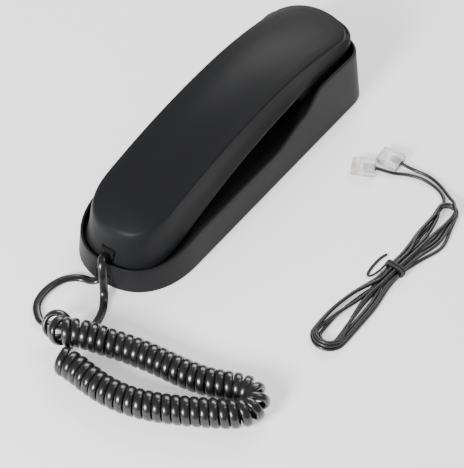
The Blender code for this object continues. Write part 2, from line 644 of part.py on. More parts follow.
def build_front_shell(plastic, hidden):
    """The handset's inner side: ear cup, keypad panel and mouth end."""
    def edge(x, y):
        return low_height(y) - mix(1.3 * MM, 0.2 * MM, ear_share(y))

    def rounding(x, y):
        return mix(edge(x, y), face_height(y), 0.55)

    def face(x, y):
        return face_height(y)

    def inside_face(x, y):
        return face_height(y) + WALL

    def inside_edge(x, y):
        return max(edge(x, y) + 0.4 * MM, face_height(y) + 1.3 * WALL)

    def ledge(x, y):
        return edge(x, y) - mix(0.8 * MM, 0.2 * MM, ear_share(y))

    lip = 0.25 * MM
    inner = WALL + 1.2 * MM
    under = EAR_UNDERCUT
    rings = [
        ring(hand_outline(FACE_HALF - WALL, HAND_NEAR + 7.5 * MM, HAND_FAR - under - 4.0 * MM),
             inside_face),
        hand_level(HAND_HALF_LOW - inner, HAND_HALF_CUP - inner, HAND_NEAR + inner,
                   HAND_FAR - under - WALL, inside_edge),
        parting_ring(WALL + 0.3 * MM, FIT_GAP),
        parting_ring(lip, FIT_GAP),
        hand_level(HAND_HALF_LOW - lip, HAND_HALF_CUP - lip, HAND_NEAR + lip,
                   HAND_FAR - lip, edge),
        hand_level(HAND_HALF_LOW - 0.8 * MM, HAND_HALF_CUP - 0.7 * MM,
                   HAND_NEAR + 0.8 * MM, HAND_FAR - under, ledge),
        hand_level(HAND_HALF_LOW - 1.6 * MM, HAND_HALF_CUP - 1.2 * MM,
                   HAND_NEAR + 1.6 * MM, HAND_FAR - under - 0.4 * MM, rounding),
        ring(hand_outline(FACE_HALF, HAND_NEAR + 4.5 * MM, HAND_FAR - under - 2.2 * MM), face)]
    shell = loft("handset_front_shell", rings, inside_face, face, plastic)
    windows = []
    for _, x, y in key_spots():
        windows.append((x, y))
    width = KEY_WIDTH + 2.0 * KEY_GAP
    length = KEY_LENGTH + 2.0 * KEY_GAP
    cut(shell, panel_blocks("key_windows", windows, width, length, -3.0 * MM, 4.0 * MM,
                            hidden))
    holes = [(0.0, EAR_Y, FLOOR_FAR, FLOOR_FAR + 4.0 * MM, EAR_HOLE_RADIUS)]
    for step in range(6):
        angle = math.pi * step / 3.0
        x = EAR_HOLE_RING * math.cos(angle)
        y = EAR_Y + EAR_HOLE_RING * math.sin(angle)
        holes.append((x, y, FLOOR_FAR, FLOOR_FAR + 4.0 * MM, EAR_HOLE_RADIUS))
    mouth = face_height(MOUTH_Y)
    holes.append((0.0, MOUTH_Y, mouth - 3.0 * MM, mouth + 5.0 * MM, EAR_HOLE_RADIUS))
    for y in HAND_SCREW_SPOTS:
        level = face_height(y)
        holes.append((0.0, y, level - 3.0 * MM, level + 6.0 * MM, SCREW_RADIUS + 0.4 * MM))
    cut(shell, rods("sound_and_screw_holes", holes, hidden))
    sinks = []
    for y in HAND_SCREW_SPOTS:
        level = face_height(y)
        sinks.append((0.0, y, level - 3.0 * MM, level + 1.2 * MM, SCREW_HEAD_RADIUS + 0.4 * MM))
    cut(shell, rods("handset_screw_sinks", sinks, hidden), solver="MANIFOLD")
    return shell


# ---------------------------------------------------------------- base
def build_base_housing(plastic, hidden):
    """The base's shell: outer wall, rim, finger scoops and the cradle floor."""
    def foot(y):
        return FOOT_LIFT

    def under_floor(y):
        return floor_height(y) - WALL

    def under_scoop(y):
        return mix(floor_height(y) - WALL, RIM_MIDDLE - 3.4 * MM, scoop_share(y))

    def scoop_level(share):
        return lambda y: mix(rim_height(y), floor_height(y), share)

    rings = [
        base_ring(0.0, foot),
        base_ring(0.0, lambda y: rim_height(y) - RIM_ROUND),
        base_ring(RIM_ROUND, rim_height),
        base_ring(RIM_WALL, rim_height),
        base_ring(RIM_WALL + 0.3 * MM, scoop_level(0.35), 0.10 * SCOOP_REACH),
        base_ring(WALL + 0.2 * MM, scoop_level(0.72), 0.42 * SCOOP_REACH),
        base_ring(WALL + 0.5 * MM, scoop_level(0.94), 0.80 * SCOOP_REACH),
        base_ring(WALL + 1.2 * MM, floor_height, SCOOP_REACH),
        base_ring(WALL + 1.2 * MM, under_floor, SCOOP_REACH),
        base_ring(WALL + 0.1 * MM, under_scoop),
        base_ring(WALL, foot)]
    vertices = [point for one in rings for point in one]
    count = len(rings[0])
    faces = []
    half_count = count // 2 + 1
    floor_level = 7
    for level in range(len(rings)):
        if level == floor_level:
            continue
        low = level * count
        high = ((level + 1) % len(rings)) * count
        for index in range(count):
            after = (index + 1) % count
            faces.append((low + index, low + after, high + after, high + index))
    lid(vertices, faces, floor_level * count, half_count, lambda x, y: floor_height(y))
    lid(vertices, faces, (floor_level + 1) * count, half_count,
        lambda x, y: under_floor(y))
    housing = mesh_object("base_housing", vertices, faces, plastic)

    plate_top = FOOT_LIFT + PLATE_THICKNESS
    posts = []
    bores = []
    for x, y in SCREW_SPOTS:
        under = floor_height(y) - WALL
        posts.append((x, y, plate_top + FIT_GAP, under + 0.5 * WALL, POST_RADIUS))
        bores.append((x, y, plate_top, under - 0.4 * MM, POST_BORE))
    cut(housing, rods("base_posts", posts, hidden), "UNION")
    cut(housing, rods("base_post_bores", bores, hidden), solver="MANIFOLD")

    port_height = CORD_PLUG[2] + 2.0 * PLUG_FIT
    openings = [
        ("cord_port", (0.0, NEAR_END, BASE_PORT_HEIGHT),
         (CORD_PLUG[0] + 2.0 * PLUG_FIT, 16.0 * MM, port_height)),
        ("line_port", (-HALF_WIDTH, LINE_JACK_Y, line_jack_middle()),
         (12.0 * MM, LINE_PORT[0], LINE_PORT[1])),
        ("slider_slot", (-HALF_WIDTH, SLIDER_Y, SLIDER_HEIGHT),
         (12.0 * MM, SLIDER_TRAVEL + SLIDER_KNOB[1] + 0.8 * MM,
          SLIDER_KNOB[0] + 2.0 * PLUG_FIT)),
        ("hook_opening", (0.0, HOOK_Y, FLOOR_FAR - 0.5 * WALL),
         (2.0 * (HOOK_HALF[0] + PLUG_FIT), 2.0 * (HOOK_HALF[1] + PLUG_FIT), 6.0 * MM))]
    for name, centre, size in openings:
        cut(housing, box(name, centre, size, hidden))
    return housing


def line_jack_middle():
    """Height of the middle of the wall-line socket."""
    return FOOT_LIFT + PLATE_THICKNESS + FIT_GAP + 0.5 * LINE_JACK[2]


def build_base_plate(plastic, hidden):
    """The flat back: foot recesses, wall keyholes, screw holes and board posts."""
    top = FOOT_LIFT + PLATE_THICKNESS

    def low(y):
        return FOOT_LIFT

    def high(y):
        return top

    gap = WALL + 0.1 * MM + FIT_GAP
    plate = loft("base_plate", [base_ring(gap, low), base_ring(gap, high)],
                 lambda x, y: FOOT_LIFT, lambda x, y: top, plastic)
    posts = []
    for x in (-0.36 * BOARD_WIDTH, 0.36 * BOARD_WIDTH):
        for y in (BOARD_START + 5.0 * MM, BOARD_END - 5.0 * MM):
            posts.append((x, y, top - 0.5 * PLATE_THICKNESS, top + POST_HEIGHT, POST_RADIUS))
    cut(plate, rods("board_posts", posts, hidden), "UNION")

    below = FOOT_LIFT - 1.0 * MM
    wide = []
    for x, y in FOOT_SPOTS:
        wide.append((x, y, below, FOOT_HEIGHT + FIT_GAP, FOOT_RADIUS + FIT_GAP))
    for x, y in SCREW_SPOTS:
        wide.append((x, y, below, FOOT_LIFT + SCREW_HEAD + FIT_GAP,
                     SCREW_HEAD_RADIUS + FIT_GAP))
    for y in KEYHOLE_SPOTS:
        wide.append((0.0, y, below, top + 1.0 * MM, KEYHOLE_RADIUS))
    cut(plate, rods("plate_recesses", wide, hidden))
    narrow = [(x, y, below, top + 1.0 * MM, SCREW_RADIUS + FIT_GAP) for x, y in SCREW_SPOTS]
    cut(plate, rods("plate_screw_holes", narrow, hidden), solver="MANIFOLD")
    for index, y in enumerate(KEYHOLE_SPOTS):
        cut(plate, box(f"keyhole_slot_{index + 1}", (0.0, y + 0.5 * KEYHOLE_RUN, top),
                       (KEYHOLE_SLOT, KEYHOLE_RUN, 10.0 * MM), hidden))
    port_top = BASE_PORT_HEIGHT + 0.5 * CORD_JACK[2] + FIT_GAP
    notch_length = CORD_JACK[1] + 6.0 * MM
    cut(plate, box("jack_notch", (0.0, NEAR_END, 0.0),
                   (CORD_JACK[0] + 2.0 * FIT_GAP, 2.0 * notch_length, 2.0 * port_top), hidden))
    return plate


def socket_block(name, centre, size, opening, material, hidden, axis):
    """A socket: a block with a blind opening on one side, axis -2 for -Y, -1 for -X."""
    block = box(name, centre, size, material)
    if axis == -2:
        hole_centre = (centre[0], centre[1] - 1.5 * MM, centre[2])
        hole_size = (opening[0], size[1] + 0.1 * MM, opening[1])
    else:
        hole_centre = (centre[0] - 1.5 * MM, centre[1], centre[2])
        hole_size = (size[0] + 0.1 * MM, opening[0], opening[1])
    cut(block, box(name + "_opening", hole_centre, hole_size, hidden))
    return block


def build_base_fittings(finishes, hidden):
    """Feet, screws, circuit board, sockets, buzzer and hook switch."""
    top = FOOT_LIFT + PLATE_THICKNESS
    for index, (x, y) in enumerate(FOOT_SPOTS):
        turned(f"foot_{index + 1}", [(FOOT_RADIUS - 0.3 * MM, 0.0),
                                     (FOOT_RADIUS, 0.3 * MM), (FOOT_RADIUS, FOOT_HEIGHT)],
               (x, y, 0.0), finishes["rubber"], sides=20)
    for index, (x, y) in enumerate(SCREW_SPOTS):
        length = min(10.0 * MM, floor_height(y) - WALL - 1.0 * MM - FOOT_LIFT)
        screw(f"base_screw_{index + 1}", (x, y, FOOT_LIFT + 0.2 * MM), length,
              finishes["steel"])
    board_bottom = top + POST_HEIGHT + FIT_GAP
    board_top = board_bottom + BOARD_THICKNESS
    box("base_circuit_board", (0.0, 0.5 * (BOARD_START + BOARD_END),
                               board_bottom + 0.5 * BOARD_THICKNESS),
        (BOARD_WIDTH, BOARD_END - BOARD_START, BOARD_THICKNESS), finishes["board"])

    jack_front = NEAR_END + WALL + 1.9 * MM
    socket_block("base_cord_jack", (0.0, jack_front + 0.5 * CORD_JACK[1], BASE_PORT_HEIGHT),
                 CORD_JACK, (CORD_PLUG[0] + 2.0 * PLUG_FIT, CORD_PLUG[2] + 2.0 * PLUG_FIT),
                 finishes["jack"], hidden, -2)
    middle = line_jack_middle()
    side = -HALF_WIDTH + WALL + DRAFT * middle + 1.6 * MM
    socket_block("line_jack", (side + 0.5 * LINE_JACK[1], LINE_JACK_Y, middle),
                 (LINE_JACK[1], LINE_JACK[0], LINE_JACK[2]), LINE_PORT,
                 finishes["jack"], hidden, -1)

    x, y = BUZZER_SPOT
    turned("ringer_buzzer", [(BUZZER_RADIUS, 0.0), (BUZZER_RADIUS, 0.8 * BUZZER_HEIGHT),
                             (0.8 * BUZZER_RADIUS, BUZZER_HEIGHT)],
           (x, y, top + FIT_GAP), finishes["buzzer"])

    switch_top = board_top + FIT_GAP + SWITCH_HEIGHT
    box("hook_switch", (0.0, HOOK_Y, switch_top - 0.5 * SWITCH_HEIGHT),
        (9.0 * MM, 9.0 * MM, SWITCH_HEIGHT), finishes["jack"], bevel=0.3 * MM)
    flange_top = FLOOR_FAR - WALL - HOOK_TRAVEL - FIT_GAP
    flange_bottom = flange_top - HOOK_FLANGE
    half_x, half_y = HOOK_HALF
    rim = HOOK_FLANGE_RIM
    plunger_top = FLOOR_FAR + 0.5 * FACE_REST
    stack("hook_plunger", [
        (HOOK_STEM, HOOK_STEM, switch_top + FIT_GAP),
        (HOOK_STEM, HOOK_STEM, flange_bottom),
        (half_x + rim, half_y + rim, flange_bottom),
        (half_x + rim, half_y + rim, flange_top),
        (half_x, half_y, flange_top),
        (half_x, half_y, plunger_top - 0.6 * MM),
        (half_x - 0.6 * MM, half_y - 0.6 * MM, plunger_top)],
        finishes["plastic"], base=(0.0, HOOK_Y, 0.0), corner=0.9 * MM)
    start = switch_top + FIT_GAP + 0.5 * SPRING_WIRE
    end = flange_bottom - FIT_GAP - 0.5 * SPRING_WIRE
    coil = []
    steps = SPRING_TURNS * 12
    for step in range(steps + 1):
        angle = 2.0 * math.pi * step / 12.0
        coil.append((SPRING_RADIUS * math.cos(angle),
                     HOOK_Y + SPRING_RADIUS * math.sin(angle), mix(start, end, step / steps)))
    wire("hook_spring", coil, SPRING_WIRE, finishes["steel"])

    build_ringer_slider(finishes)


def build_ringer_slider(finishes):
    """Volume slider in the left wall: a knob outside, a carriage behind the wall."""
    wall_face = -HALF_WIDTH + DRAFT * SLIDER_HEIGHT
    inside = wall_face + WALL + 0.5 * MM
    half_length = 0.5 * SLIDER_KNOB[1]
    half_height = 0.5 * SLIDER_KNOB[0]
    levels = ((-1.0 * MM, half_length, half_height),
              (WALL + 0.5 * MM, half_length, half_height),
              (WALL + 0.5 * MM, half_length + 4.2 * MM, half_height + 1.4 * MM),
              (WALL + 1.5 * MM, half_length + 4.2 * MM, half_height + 1.4 * MM))
    vertices = []
    faces = []
    for reach, along, up in levels:
        x = wall_face + reach
        for y, z in ((-along, -up), (along, -up), (along, up), (-along, up)):
            vertices.append((x, SLIDER_Y + y, SLIDER_HEIGHT + z))
    for level in range(3):
        low = 4 * level
        for step in range(4):
            after = (step + 1) % 4
            faces.append((low + step, low + after, low + 4 + after, low + 4 + step))
    faces.append((0, 1, 2, 3))
    faces.append((12, 13, 14, 15))
    mesh_object("ringer_slider", vertices, faces, finishes["plastic"], smooth=False,
                origin=(wall_face, SLIDER_Y, SLIDER_HEIGHT))
    box("volume_switch", (inside + 1.0 * MM + 0.4 * MM + 2.0 * MM, SLIDER_Y, SLIDER_HEIGHT),
        (4.0 * MM, 16.0 * MM, 7.0 * MM), finishes["jack"], bevel=0.3 * MM)


def screw(name, head_place, length, material):
    """A pan-head screw seen from below: its head at the place given, shank upward."""
    turned(name, [(SCREW_HEAD_RADIUS - 0.3 * MM, 0.0), (SCREW_HEAD_RADIUS, 0.3 * MM),
                  (SCREW_HEAD_RADIUS, SCREW_HEAD - 0.2 * MM),
                  (SCREW_RADIUS, SCREW_HEAD - 0.2 * MM),
                  (SCREW_RADIUS, length - 1.0 * MM), (0.3 * MM, length)],
           head_place, material, sides=16)


def wire(name, points, diameter, material):
    """A thin round wire through closely spaced points."""
    data = bpy.data.curves.new(name, "CURVE")
    data.dimensions = "3D"
    data.bevel_depth = 0.5 * diameter
    data.bevel_resolution = 0
    data.use_fill_caps = True
    line = data.splines.new("POLY")
    line.points.add(len(points) - 1)
    for spot, point in zip(line.points, points):
        spot.co = (point[0], point[1], point[2], 1.0)
    data.materials.append(material)
    made = bpy.data.objects.new(name, data)
    bpy.context.scene.collection.objects.link(made)
    return made


# ---------------------------------------------------------------- handset
PANEL_TURN = math.atan(PANEL_SLOPE)


def panel_blocks(name, spots, width, length, bottom, top, material):
    """Upright-to-the-panel blocks at the given (x, y) spots, in one object."""
    tilt = Matrix.Rotation(PANEL_TURN, 3, "X")
    vertices = []
    faces = []
    for x, y in spots:
        first = len(vertices)
        base = Vector((x, y, panel_height(y)))
        for height in (bottom, top):
            for dx, dy in ((-1, -1), (1, -1), (1, 1), (-1, 1)):
                spot = Vector((0.5 * dx * width, 0.5 * dy * length, height))
                vertices.append(base + tilt @ spot)
        faces.append((first, first + 1, first + 2, first + 3))
        faces.append((first + 4, first + 5, first + 6, first + 7))
        for step in range(4):
            after = (step + 1) % 4
            faces.append((first + step, first + after, first + 4 + after, first + 4 + step))
    return mesh_object(name, vertices, faces, material, smooth=False)


def key_spots():
    """Each key's name with the x and y of its middle on the panel."""
    names = ("1", "2", "3", "4", "5", "6", "7", "8", "9", "star", "0", "hash")
    spots = []
    for index, label in enumerate(names):
        row, column = divmod(index, 3)
        spots.append((f"key_{label}", (1 - column) * KEY_PITCH_X,
                      KEY_TOP_Y - row * KEY_PITCH_Y))
    for column, label in enumerate(("redial", "flash", "mute")):
        spots.append((f"key_{label}", (1 - column) * KEY_PITCH_X, FUNCTION_Y))
    return spots


def build_keys(finishes):
    """Fifteen keys that press into the panel, each with a flange behind it."""
    half_x = 0.5 * KEY_WIDTH
    half_y = 0.5 * KEY_LENGTH
    back = WALL + FIT_GAP
    rim = KEY_FLANGE_RIM
    levels = [(half_x - KEY_ROUND, half_y - KEY_ROUND, -KEY_STAND),
              (half_x, half_y, KEY_ROUND - KEY_STAND), (half_x, half_y, back),
              (half_x + rim, half_y + rim, back),
              (half_x + rim, half_y + rim, back + KEY_FLANGE)]
    for name, x, y in key_spots():
        stack(name, levels, finishes["key"], base=(x, y, panel_height(y)), turn=PANEL_TURN,
              corner=1.2 * MM)


def build_handset_fittings(finishes, hidden):
    """Key mat, circuit board, receiver, microphone, socket and screws."""
    mat_level = WALL + FIT_GAP + KEY_FLANGE + KEY_TRAVEL + FIT_GAP
    middle_y = 0.5 * (FUNCTION_Y + KEY_TOP_Y - 3.0 * KEY_PITCH_Y)
    half_x = KEY_PITCH_X + 0.5 * KEY_WIDTH + 1.0 * MM
    half_y = 0.5 * (FUNCTION_Y - KEY_TOP_Y + 3.0 * KEY_PITCH_Y + KEY_LENGTH) + 1.0 * MM
    base = (0.0, middle_y, panel_height(middle_y))
    stack("key_mat", [(half_x, half_y, mat_level), (half_x, half_y, mat_level + MAT_THICKNESS)],
          finishes["rubber"], base=base, turn=PANEL_TURN, corner=1.0 * MM)
    board_level = mat_level + MAT_THICKNESS + FIT_GAP
    stack("handset_circuit_board", [(half_x, half_y + 1.5 * MM, board_level),
                                    (half_x, half_y + 1.5 * MM,
                                     board_level + BOARD_THICKNESS)],
          finishes["board"], base=base, turn=PANEL_TURN, corner=1.0 * MM)

    cup = FLOOR_FAR + FACE_REST + WALL + FIT_GAP
    radius = RECEIVER_RADIUS
    turned("receiver_gasket", [(radius - 3.0 * MM, 0.0), (radius - 0.5 * MM, 0.0),
                               (radius - 0.5 * MM, GASKET_HEIGHT),
                               (radius - 3.0 * MM, GASKET_HEIGHT),
                               (radius - 3.0 * MM, 0.0)],
           (0.0, EAR_Y, cup), finishes["rubber"])
    turned("receiver_capsule", [(radius - 0.8 * MM, 0.0), (radius, 0.8 * MM),
                                (radius, 0.45 * RECEIVER_HEIGHT),
                                (0.6 * radius, 0.55 * RECEIVER_HEIGHT),
                                (0.6 * radius, RECEIVER_HEIGHT)],
           (0.0, EAR_Y, cup + GASKET_HEIGHT + FIT_GAP), finishes["buzzer"])
    capsule = CAPSULE_RADIUS
    boot_in = capsule + FIT_GAP
    turned("microphone_boot", [(boot_in, 0.0), (boot_in + 1.6 * MM, 0.0),
                               (boot_in + 1.6 * MM, CAPSULE_HEIGHT),
                               (boot_in, CAPSULE_HEIGHT), (boot_in, 0.0)],
           (0.0, MOUTH_Y, CAPSULE_BASE), finishes["rubber"])
    turned("microphone_capsule", [(capsule, 0.0), (capsule, CAPSULE_HEIGHT - 0.4 * MM),
                                  (capsule - 0.4 * MM, CAPSULE_HEIGHT)],
           (0.0, MOUTH_Y, CAPSULE_BASE), finishes["buzzer"], sides=20)

    front = HAND_NEAR + WALL + 2.6 * MM
    socket_block("handset_cord_jack", (0.0, front + 0.5 * CORD_JACK[1], HAND_PORT_HEIGHT),
                 CORD_JACK, (CORD_PLUG[0] + 2.0 * PLUG_FIT, CORD_PLUG[2] + 2.0 * PLUG_FIT),
                 finishes["jack"], hidden, -2)
    for index, y in enumerate(HAND_SCREW_SPOTS):
        screw(f"handset_screw_{index + 1}", (0.0, y, face_height(y) + 0.2 * MM), 9.0 * MM,
              finishes["steel"])


# ---------------------------------------------------------------- cords
def build_plug(name, tail, direction, size, material, hidden):
    """A modular plug: its tail where the cord enters, pointing along direction."""
    width, length, height = size
    ahead = Vector(direction).normalized()
    side = Vector((ahead.y, -ahead.x, 0.0))
    up = Vector((0.0, 0.0, 1.0))
    frame = Matrix((side, ahead, up)).transposed()
    profile = ((0.0, -0.5 * height), (length, -0.5 * height), (length, 0.28 * height),
               (length - 1.0 * MM, 0.34 * height), (0.25 * length, 0.5 * height),
               (0.1 * length, 0.5 * height), (0.0, 0.36 * height))
    vertices = []
    faces = []
    count = len(profile)
    for half in (-0.5 * width, 0.5 * width):
        for along, rise in profile:
            vertices.append(Vector(tail) + frame @ Vector((half, along, rise)))
    faces.append(tuple(range(count)))
    faces.append(tuple(range(count, 2 * count)))
    for step in range(count):
        after = (step + 1) % count
        faces.append((step, after, count + after, count + step))
    return mesh_object(name, vertices, faces, material, smooth=False, origin=tail)


def build_cords(finishes, hidden):
    """The curly handset cord with its plugs, and the tied line cord beside the phone."""
    build_plug("handset_cord_plug", (0.0, HAND_NEAR + 0.5 * MM, HAND_PORT_HEIGHT),
               (0.0, 1.0, 0.0), CORD_PLUG, finishes["clear"], hidden)
    build_plug("base_cord_plug", (0.0, NEAR_END + 0.4 * MM, BASE_PORT_HEIGHT),
               (0.0, 1.0, 0.0), CORD_PLUG, finishes["clear"], hidden)
    cord = finishes["cord"]
    tube("handset_lead", in_metres(HANDSET_LEAD_ROUTE), LEAD_DIAMETER, 3.0 * MM, cord)
    tube("base_lead", in_metres(BASE_LEAD_ROUTE), LEAD_DIAMETER, 3.2 * MM, cord)
    tube("coiled_cord", in_metres(COIL_ROUTE), COIL_DIAMETER, 5.0 * MM, cord, 3)


def build_line_cord(finishes, hidden):
    """The tied hank of line cord, its two leads and their plugs."""
    cord = finishes["cord"]
    for name, tail, ahead, route in (
            ("a", LINE_PLUG_A, LINE_PLUG_A_AHEAD, LINE_LEAD_A_ROUTE),
            ("b", LINE_PLUG_B, LINE_PLUG_B_AHEAD, LINE_LEAD_B_ROUTE)):
        build_plug(f"line_plug_{name}", in_metres([tail])[0], ahead, LINE_PLUG,
                   finishes["clear"], hidden)
        tube(f"line_lead_{name}", in_metres(route), LINE_DIAMETER, 3.2 * MM, cord)
    build_hank(cord)
    build_hank_tie(finishes)


def prism(name, outline, place, material):
    """A closed solid between two copies of an outline, placed by place(point, end)."""
    count = len(outline)
    vertices = [place(point, end) for end in (0, 1) for point in outline]
    faces = [tuple(range(count)), tuple(range(count, 2 * count))]
    for step in range(count):
        after = (step + 1) % count
        faces.append((step, after, count + after, count + step))
    return mesh_object(name, vertices, faces, material, smooth=False)


def round_end(spot, side):
    """Half a circle past an end of the hank, side -1 for its lower end, 1 for its upper."""
    x, y, half = spot
    points = []
    for step in range(1, 6):
        angle = math.pi * step / 6.0
        points.append((x - side * half * math.cos(angle), y + side * half * math.sin(angle)))
    return points


def build_hank(cord):
    """The folded line cord: one outline around its strands, round at both ends."""
    middle = smooth_path([(x * MM, y * MM, half * MM) for x, y, half in HANK_SPINE], 4.0 * MM)
    right = [(x + half, y) for x, y, half in middle]
    left = [(x - half, y) for x, y, half in reversed(middle)]
    outline = right + round_end(middle[-1], -1.0) + left + round_end(middle[0], 1.0)
    heights = (0.1 * MM, HANK_HEIGHT)
    prism("line_cord_hank", outline, lambda point, end: (*point, heights[end]), cord)


def build_hank_tie(finishes):
    """The wire tie as an arch over the hank's waist."""
    x_middle, y_middle, half_waist = min(HANK_SPINE, key=lambda spot: spot[2] + abs(spot[1]))
    half_in = half_waist * MM + TIE_GAP
    half_out = half_in + TIE_WIRE
    roof = HANK_HEIGHT + FIT_GAP
    low = 0.1 * MM
    outline = ((-half_out, low), (-half_out, roof), (-half_in, roof + TIE_WIRE),
               (half_in, roof + TIE_WIRE), (half_out, roof), (half_out, low), (half_in, low),
               (half_in, roof), (-half_in, roof), (-half_in, low))
    prism("hank_tie", outline,
          lambda point, end: (x_middle * MM + point[0], y_middle * MM + (end - 0.5) * TIE_WIRE,
                              point[1]), finishes["rubber"])


def in_metres(points):
    return [(x * MM, y * MM, z * MM) for x, y, z in points]


# ---------------------------------------------------------------- all of it
def main():
    clear_scene()
    finishes = {
        "plastic": finish("black_plastic", 0.015, 0.015, 0.017, 0.45),
        "key": finish("key_plastic", 0.03, 0.03, 0.033, 0.5),
        "rubber": finish("soft_rubber", 0.02, 0.02, 0.02, 0.8),
        "steel": finish("screw_steel", 0.5, 0.5, 0.5, 0.35, 1.0),
        "board": finish("board_laminate", 0.05, 0.18, 0.08, 0.6),
        "jack": finish("jack_plastic", 0.05, 0.05, 0.05, 0.5),
        "buzzer": finish("capsule_metal", 0.4, 0.4, 0.38, 0.4, 0.9),
        "clear": finish("clear_plug", 0.8, 0.82, 0.84, 0.15),
        "cord": finish("cord_jacket", 0.008, 0.008, 0.008, 0.3)}
    hidden = finish("cutter", 1.0, 0.2, 0.2, 1.0)
    build_base_housing(finishes["plastic"], hidden)
    build_base_plate(finishes["plastic"], hidden)
    build_base_fittings(finishes, hidden)
    build_back_shell(finishes["plastic"], hidden)
    build_front_shell(finishes["plastic"], hidden)
    build_keys(finishes)
    build_handset_fittings(finishes, hidden)
    build_cords(finishes, hidden)
    build_line_cord(finishes, hidden)


main()
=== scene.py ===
"""Slimline wall phone lying on a studio floor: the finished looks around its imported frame."""
import logging
import math
from collections.abc import Callable, Sequence
from dataclasses import dataclass, field
from enum import Enum

import bmesh
import bpy
import numpy as np
from mathutils import Matrix, Vector


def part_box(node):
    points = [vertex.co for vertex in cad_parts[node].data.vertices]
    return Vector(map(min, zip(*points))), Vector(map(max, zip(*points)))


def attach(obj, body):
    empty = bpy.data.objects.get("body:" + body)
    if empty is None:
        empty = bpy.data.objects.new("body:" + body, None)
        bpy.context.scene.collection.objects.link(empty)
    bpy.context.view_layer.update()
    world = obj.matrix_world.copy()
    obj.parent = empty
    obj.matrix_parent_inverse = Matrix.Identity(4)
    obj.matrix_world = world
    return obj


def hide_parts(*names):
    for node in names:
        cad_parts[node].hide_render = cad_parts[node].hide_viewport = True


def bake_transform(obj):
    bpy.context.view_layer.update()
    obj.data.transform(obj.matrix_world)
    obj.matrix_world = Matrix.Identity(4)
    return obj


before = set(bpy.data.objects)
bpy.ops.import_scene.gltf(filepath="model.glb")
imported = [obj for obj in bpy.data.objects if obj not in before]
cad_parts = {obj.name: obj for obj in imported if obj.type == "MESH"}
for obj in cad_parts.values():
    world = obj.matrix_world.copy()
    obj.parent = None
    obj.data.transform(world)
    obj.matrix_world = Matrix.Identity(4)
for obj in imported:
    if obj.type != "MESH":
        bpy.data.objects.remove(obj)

MM = 0.001
LOG = logging.getLogger("wall_phone")
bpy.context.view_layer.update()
Point = tuple[float, float, float]
HeightRule = Callable[[np.ndarray, np.ndarray], np.ndarray]


# ------------------------------------------------------------------ shader expressions
class Signal:
    """A shader socket that can be used in Python arithmetic."""

    def __init__(self, graph: "Graph", socket: bpy.types.NodeSocket) -> None:
        """Wrap one output socket.

        Args:
            graph: The graph that the socket's node belongs to.
            socket: The output socket.
        """
        self.graph = graph
        self.socket = socket

    def _math(self, operation: str, *values: "Signal | float") -> "Signal":
        """Add one Math node.

        Args:
            operation: The node's operation, such as ADD.
            values: Its inputs in order.

        Returns:
            The node's result.
        """
        inputs = dict(enumerate(values))
        made = self.graph.node("ShaderNodeMath", {"operation": operation}, inputs)
        return Signal(self.graph, made.outputs[0])

    def __add__(self, other: "Signal | float") -> "Signal":
        """Sum of this and other."""
        return self._math("ADD", self, other)

    def __radd__(self, other: float) -> "Signal":
        """Sum of other and this."""
        return self._math("ADD", other, self)

    def __sub__(self, other: "Signal | float") -> "Signal":
        """This less other."""
        return self._math("SUBTRACT", self, other)

    def __rsub__(self, other: float) -> "Signal":
        """Other less this."""
        return self._math("SUBTRACT", other, self)

    def __mul__(self, other: "Signal | float") -> "Signal":
        """Product of this and other."""
        return self._math("MULTIPLY", self, other)

    def step(self, low: float, high: float) -> "Signal":
        """A smooth step of this.

        Args:
            low: The value where the result is still 0.
            high: The value from which it is 1.

        Returns:
            The eased signal.
        """
        settings = {"interpolation_type": "SMOOTHSTEP"}
        made = self.graph.node("ShaderNodeMapRange", settings,
                               {"Value": self, "From Min": low, "From Max": high})
        return Signal(self.graph, made.outputs[0])


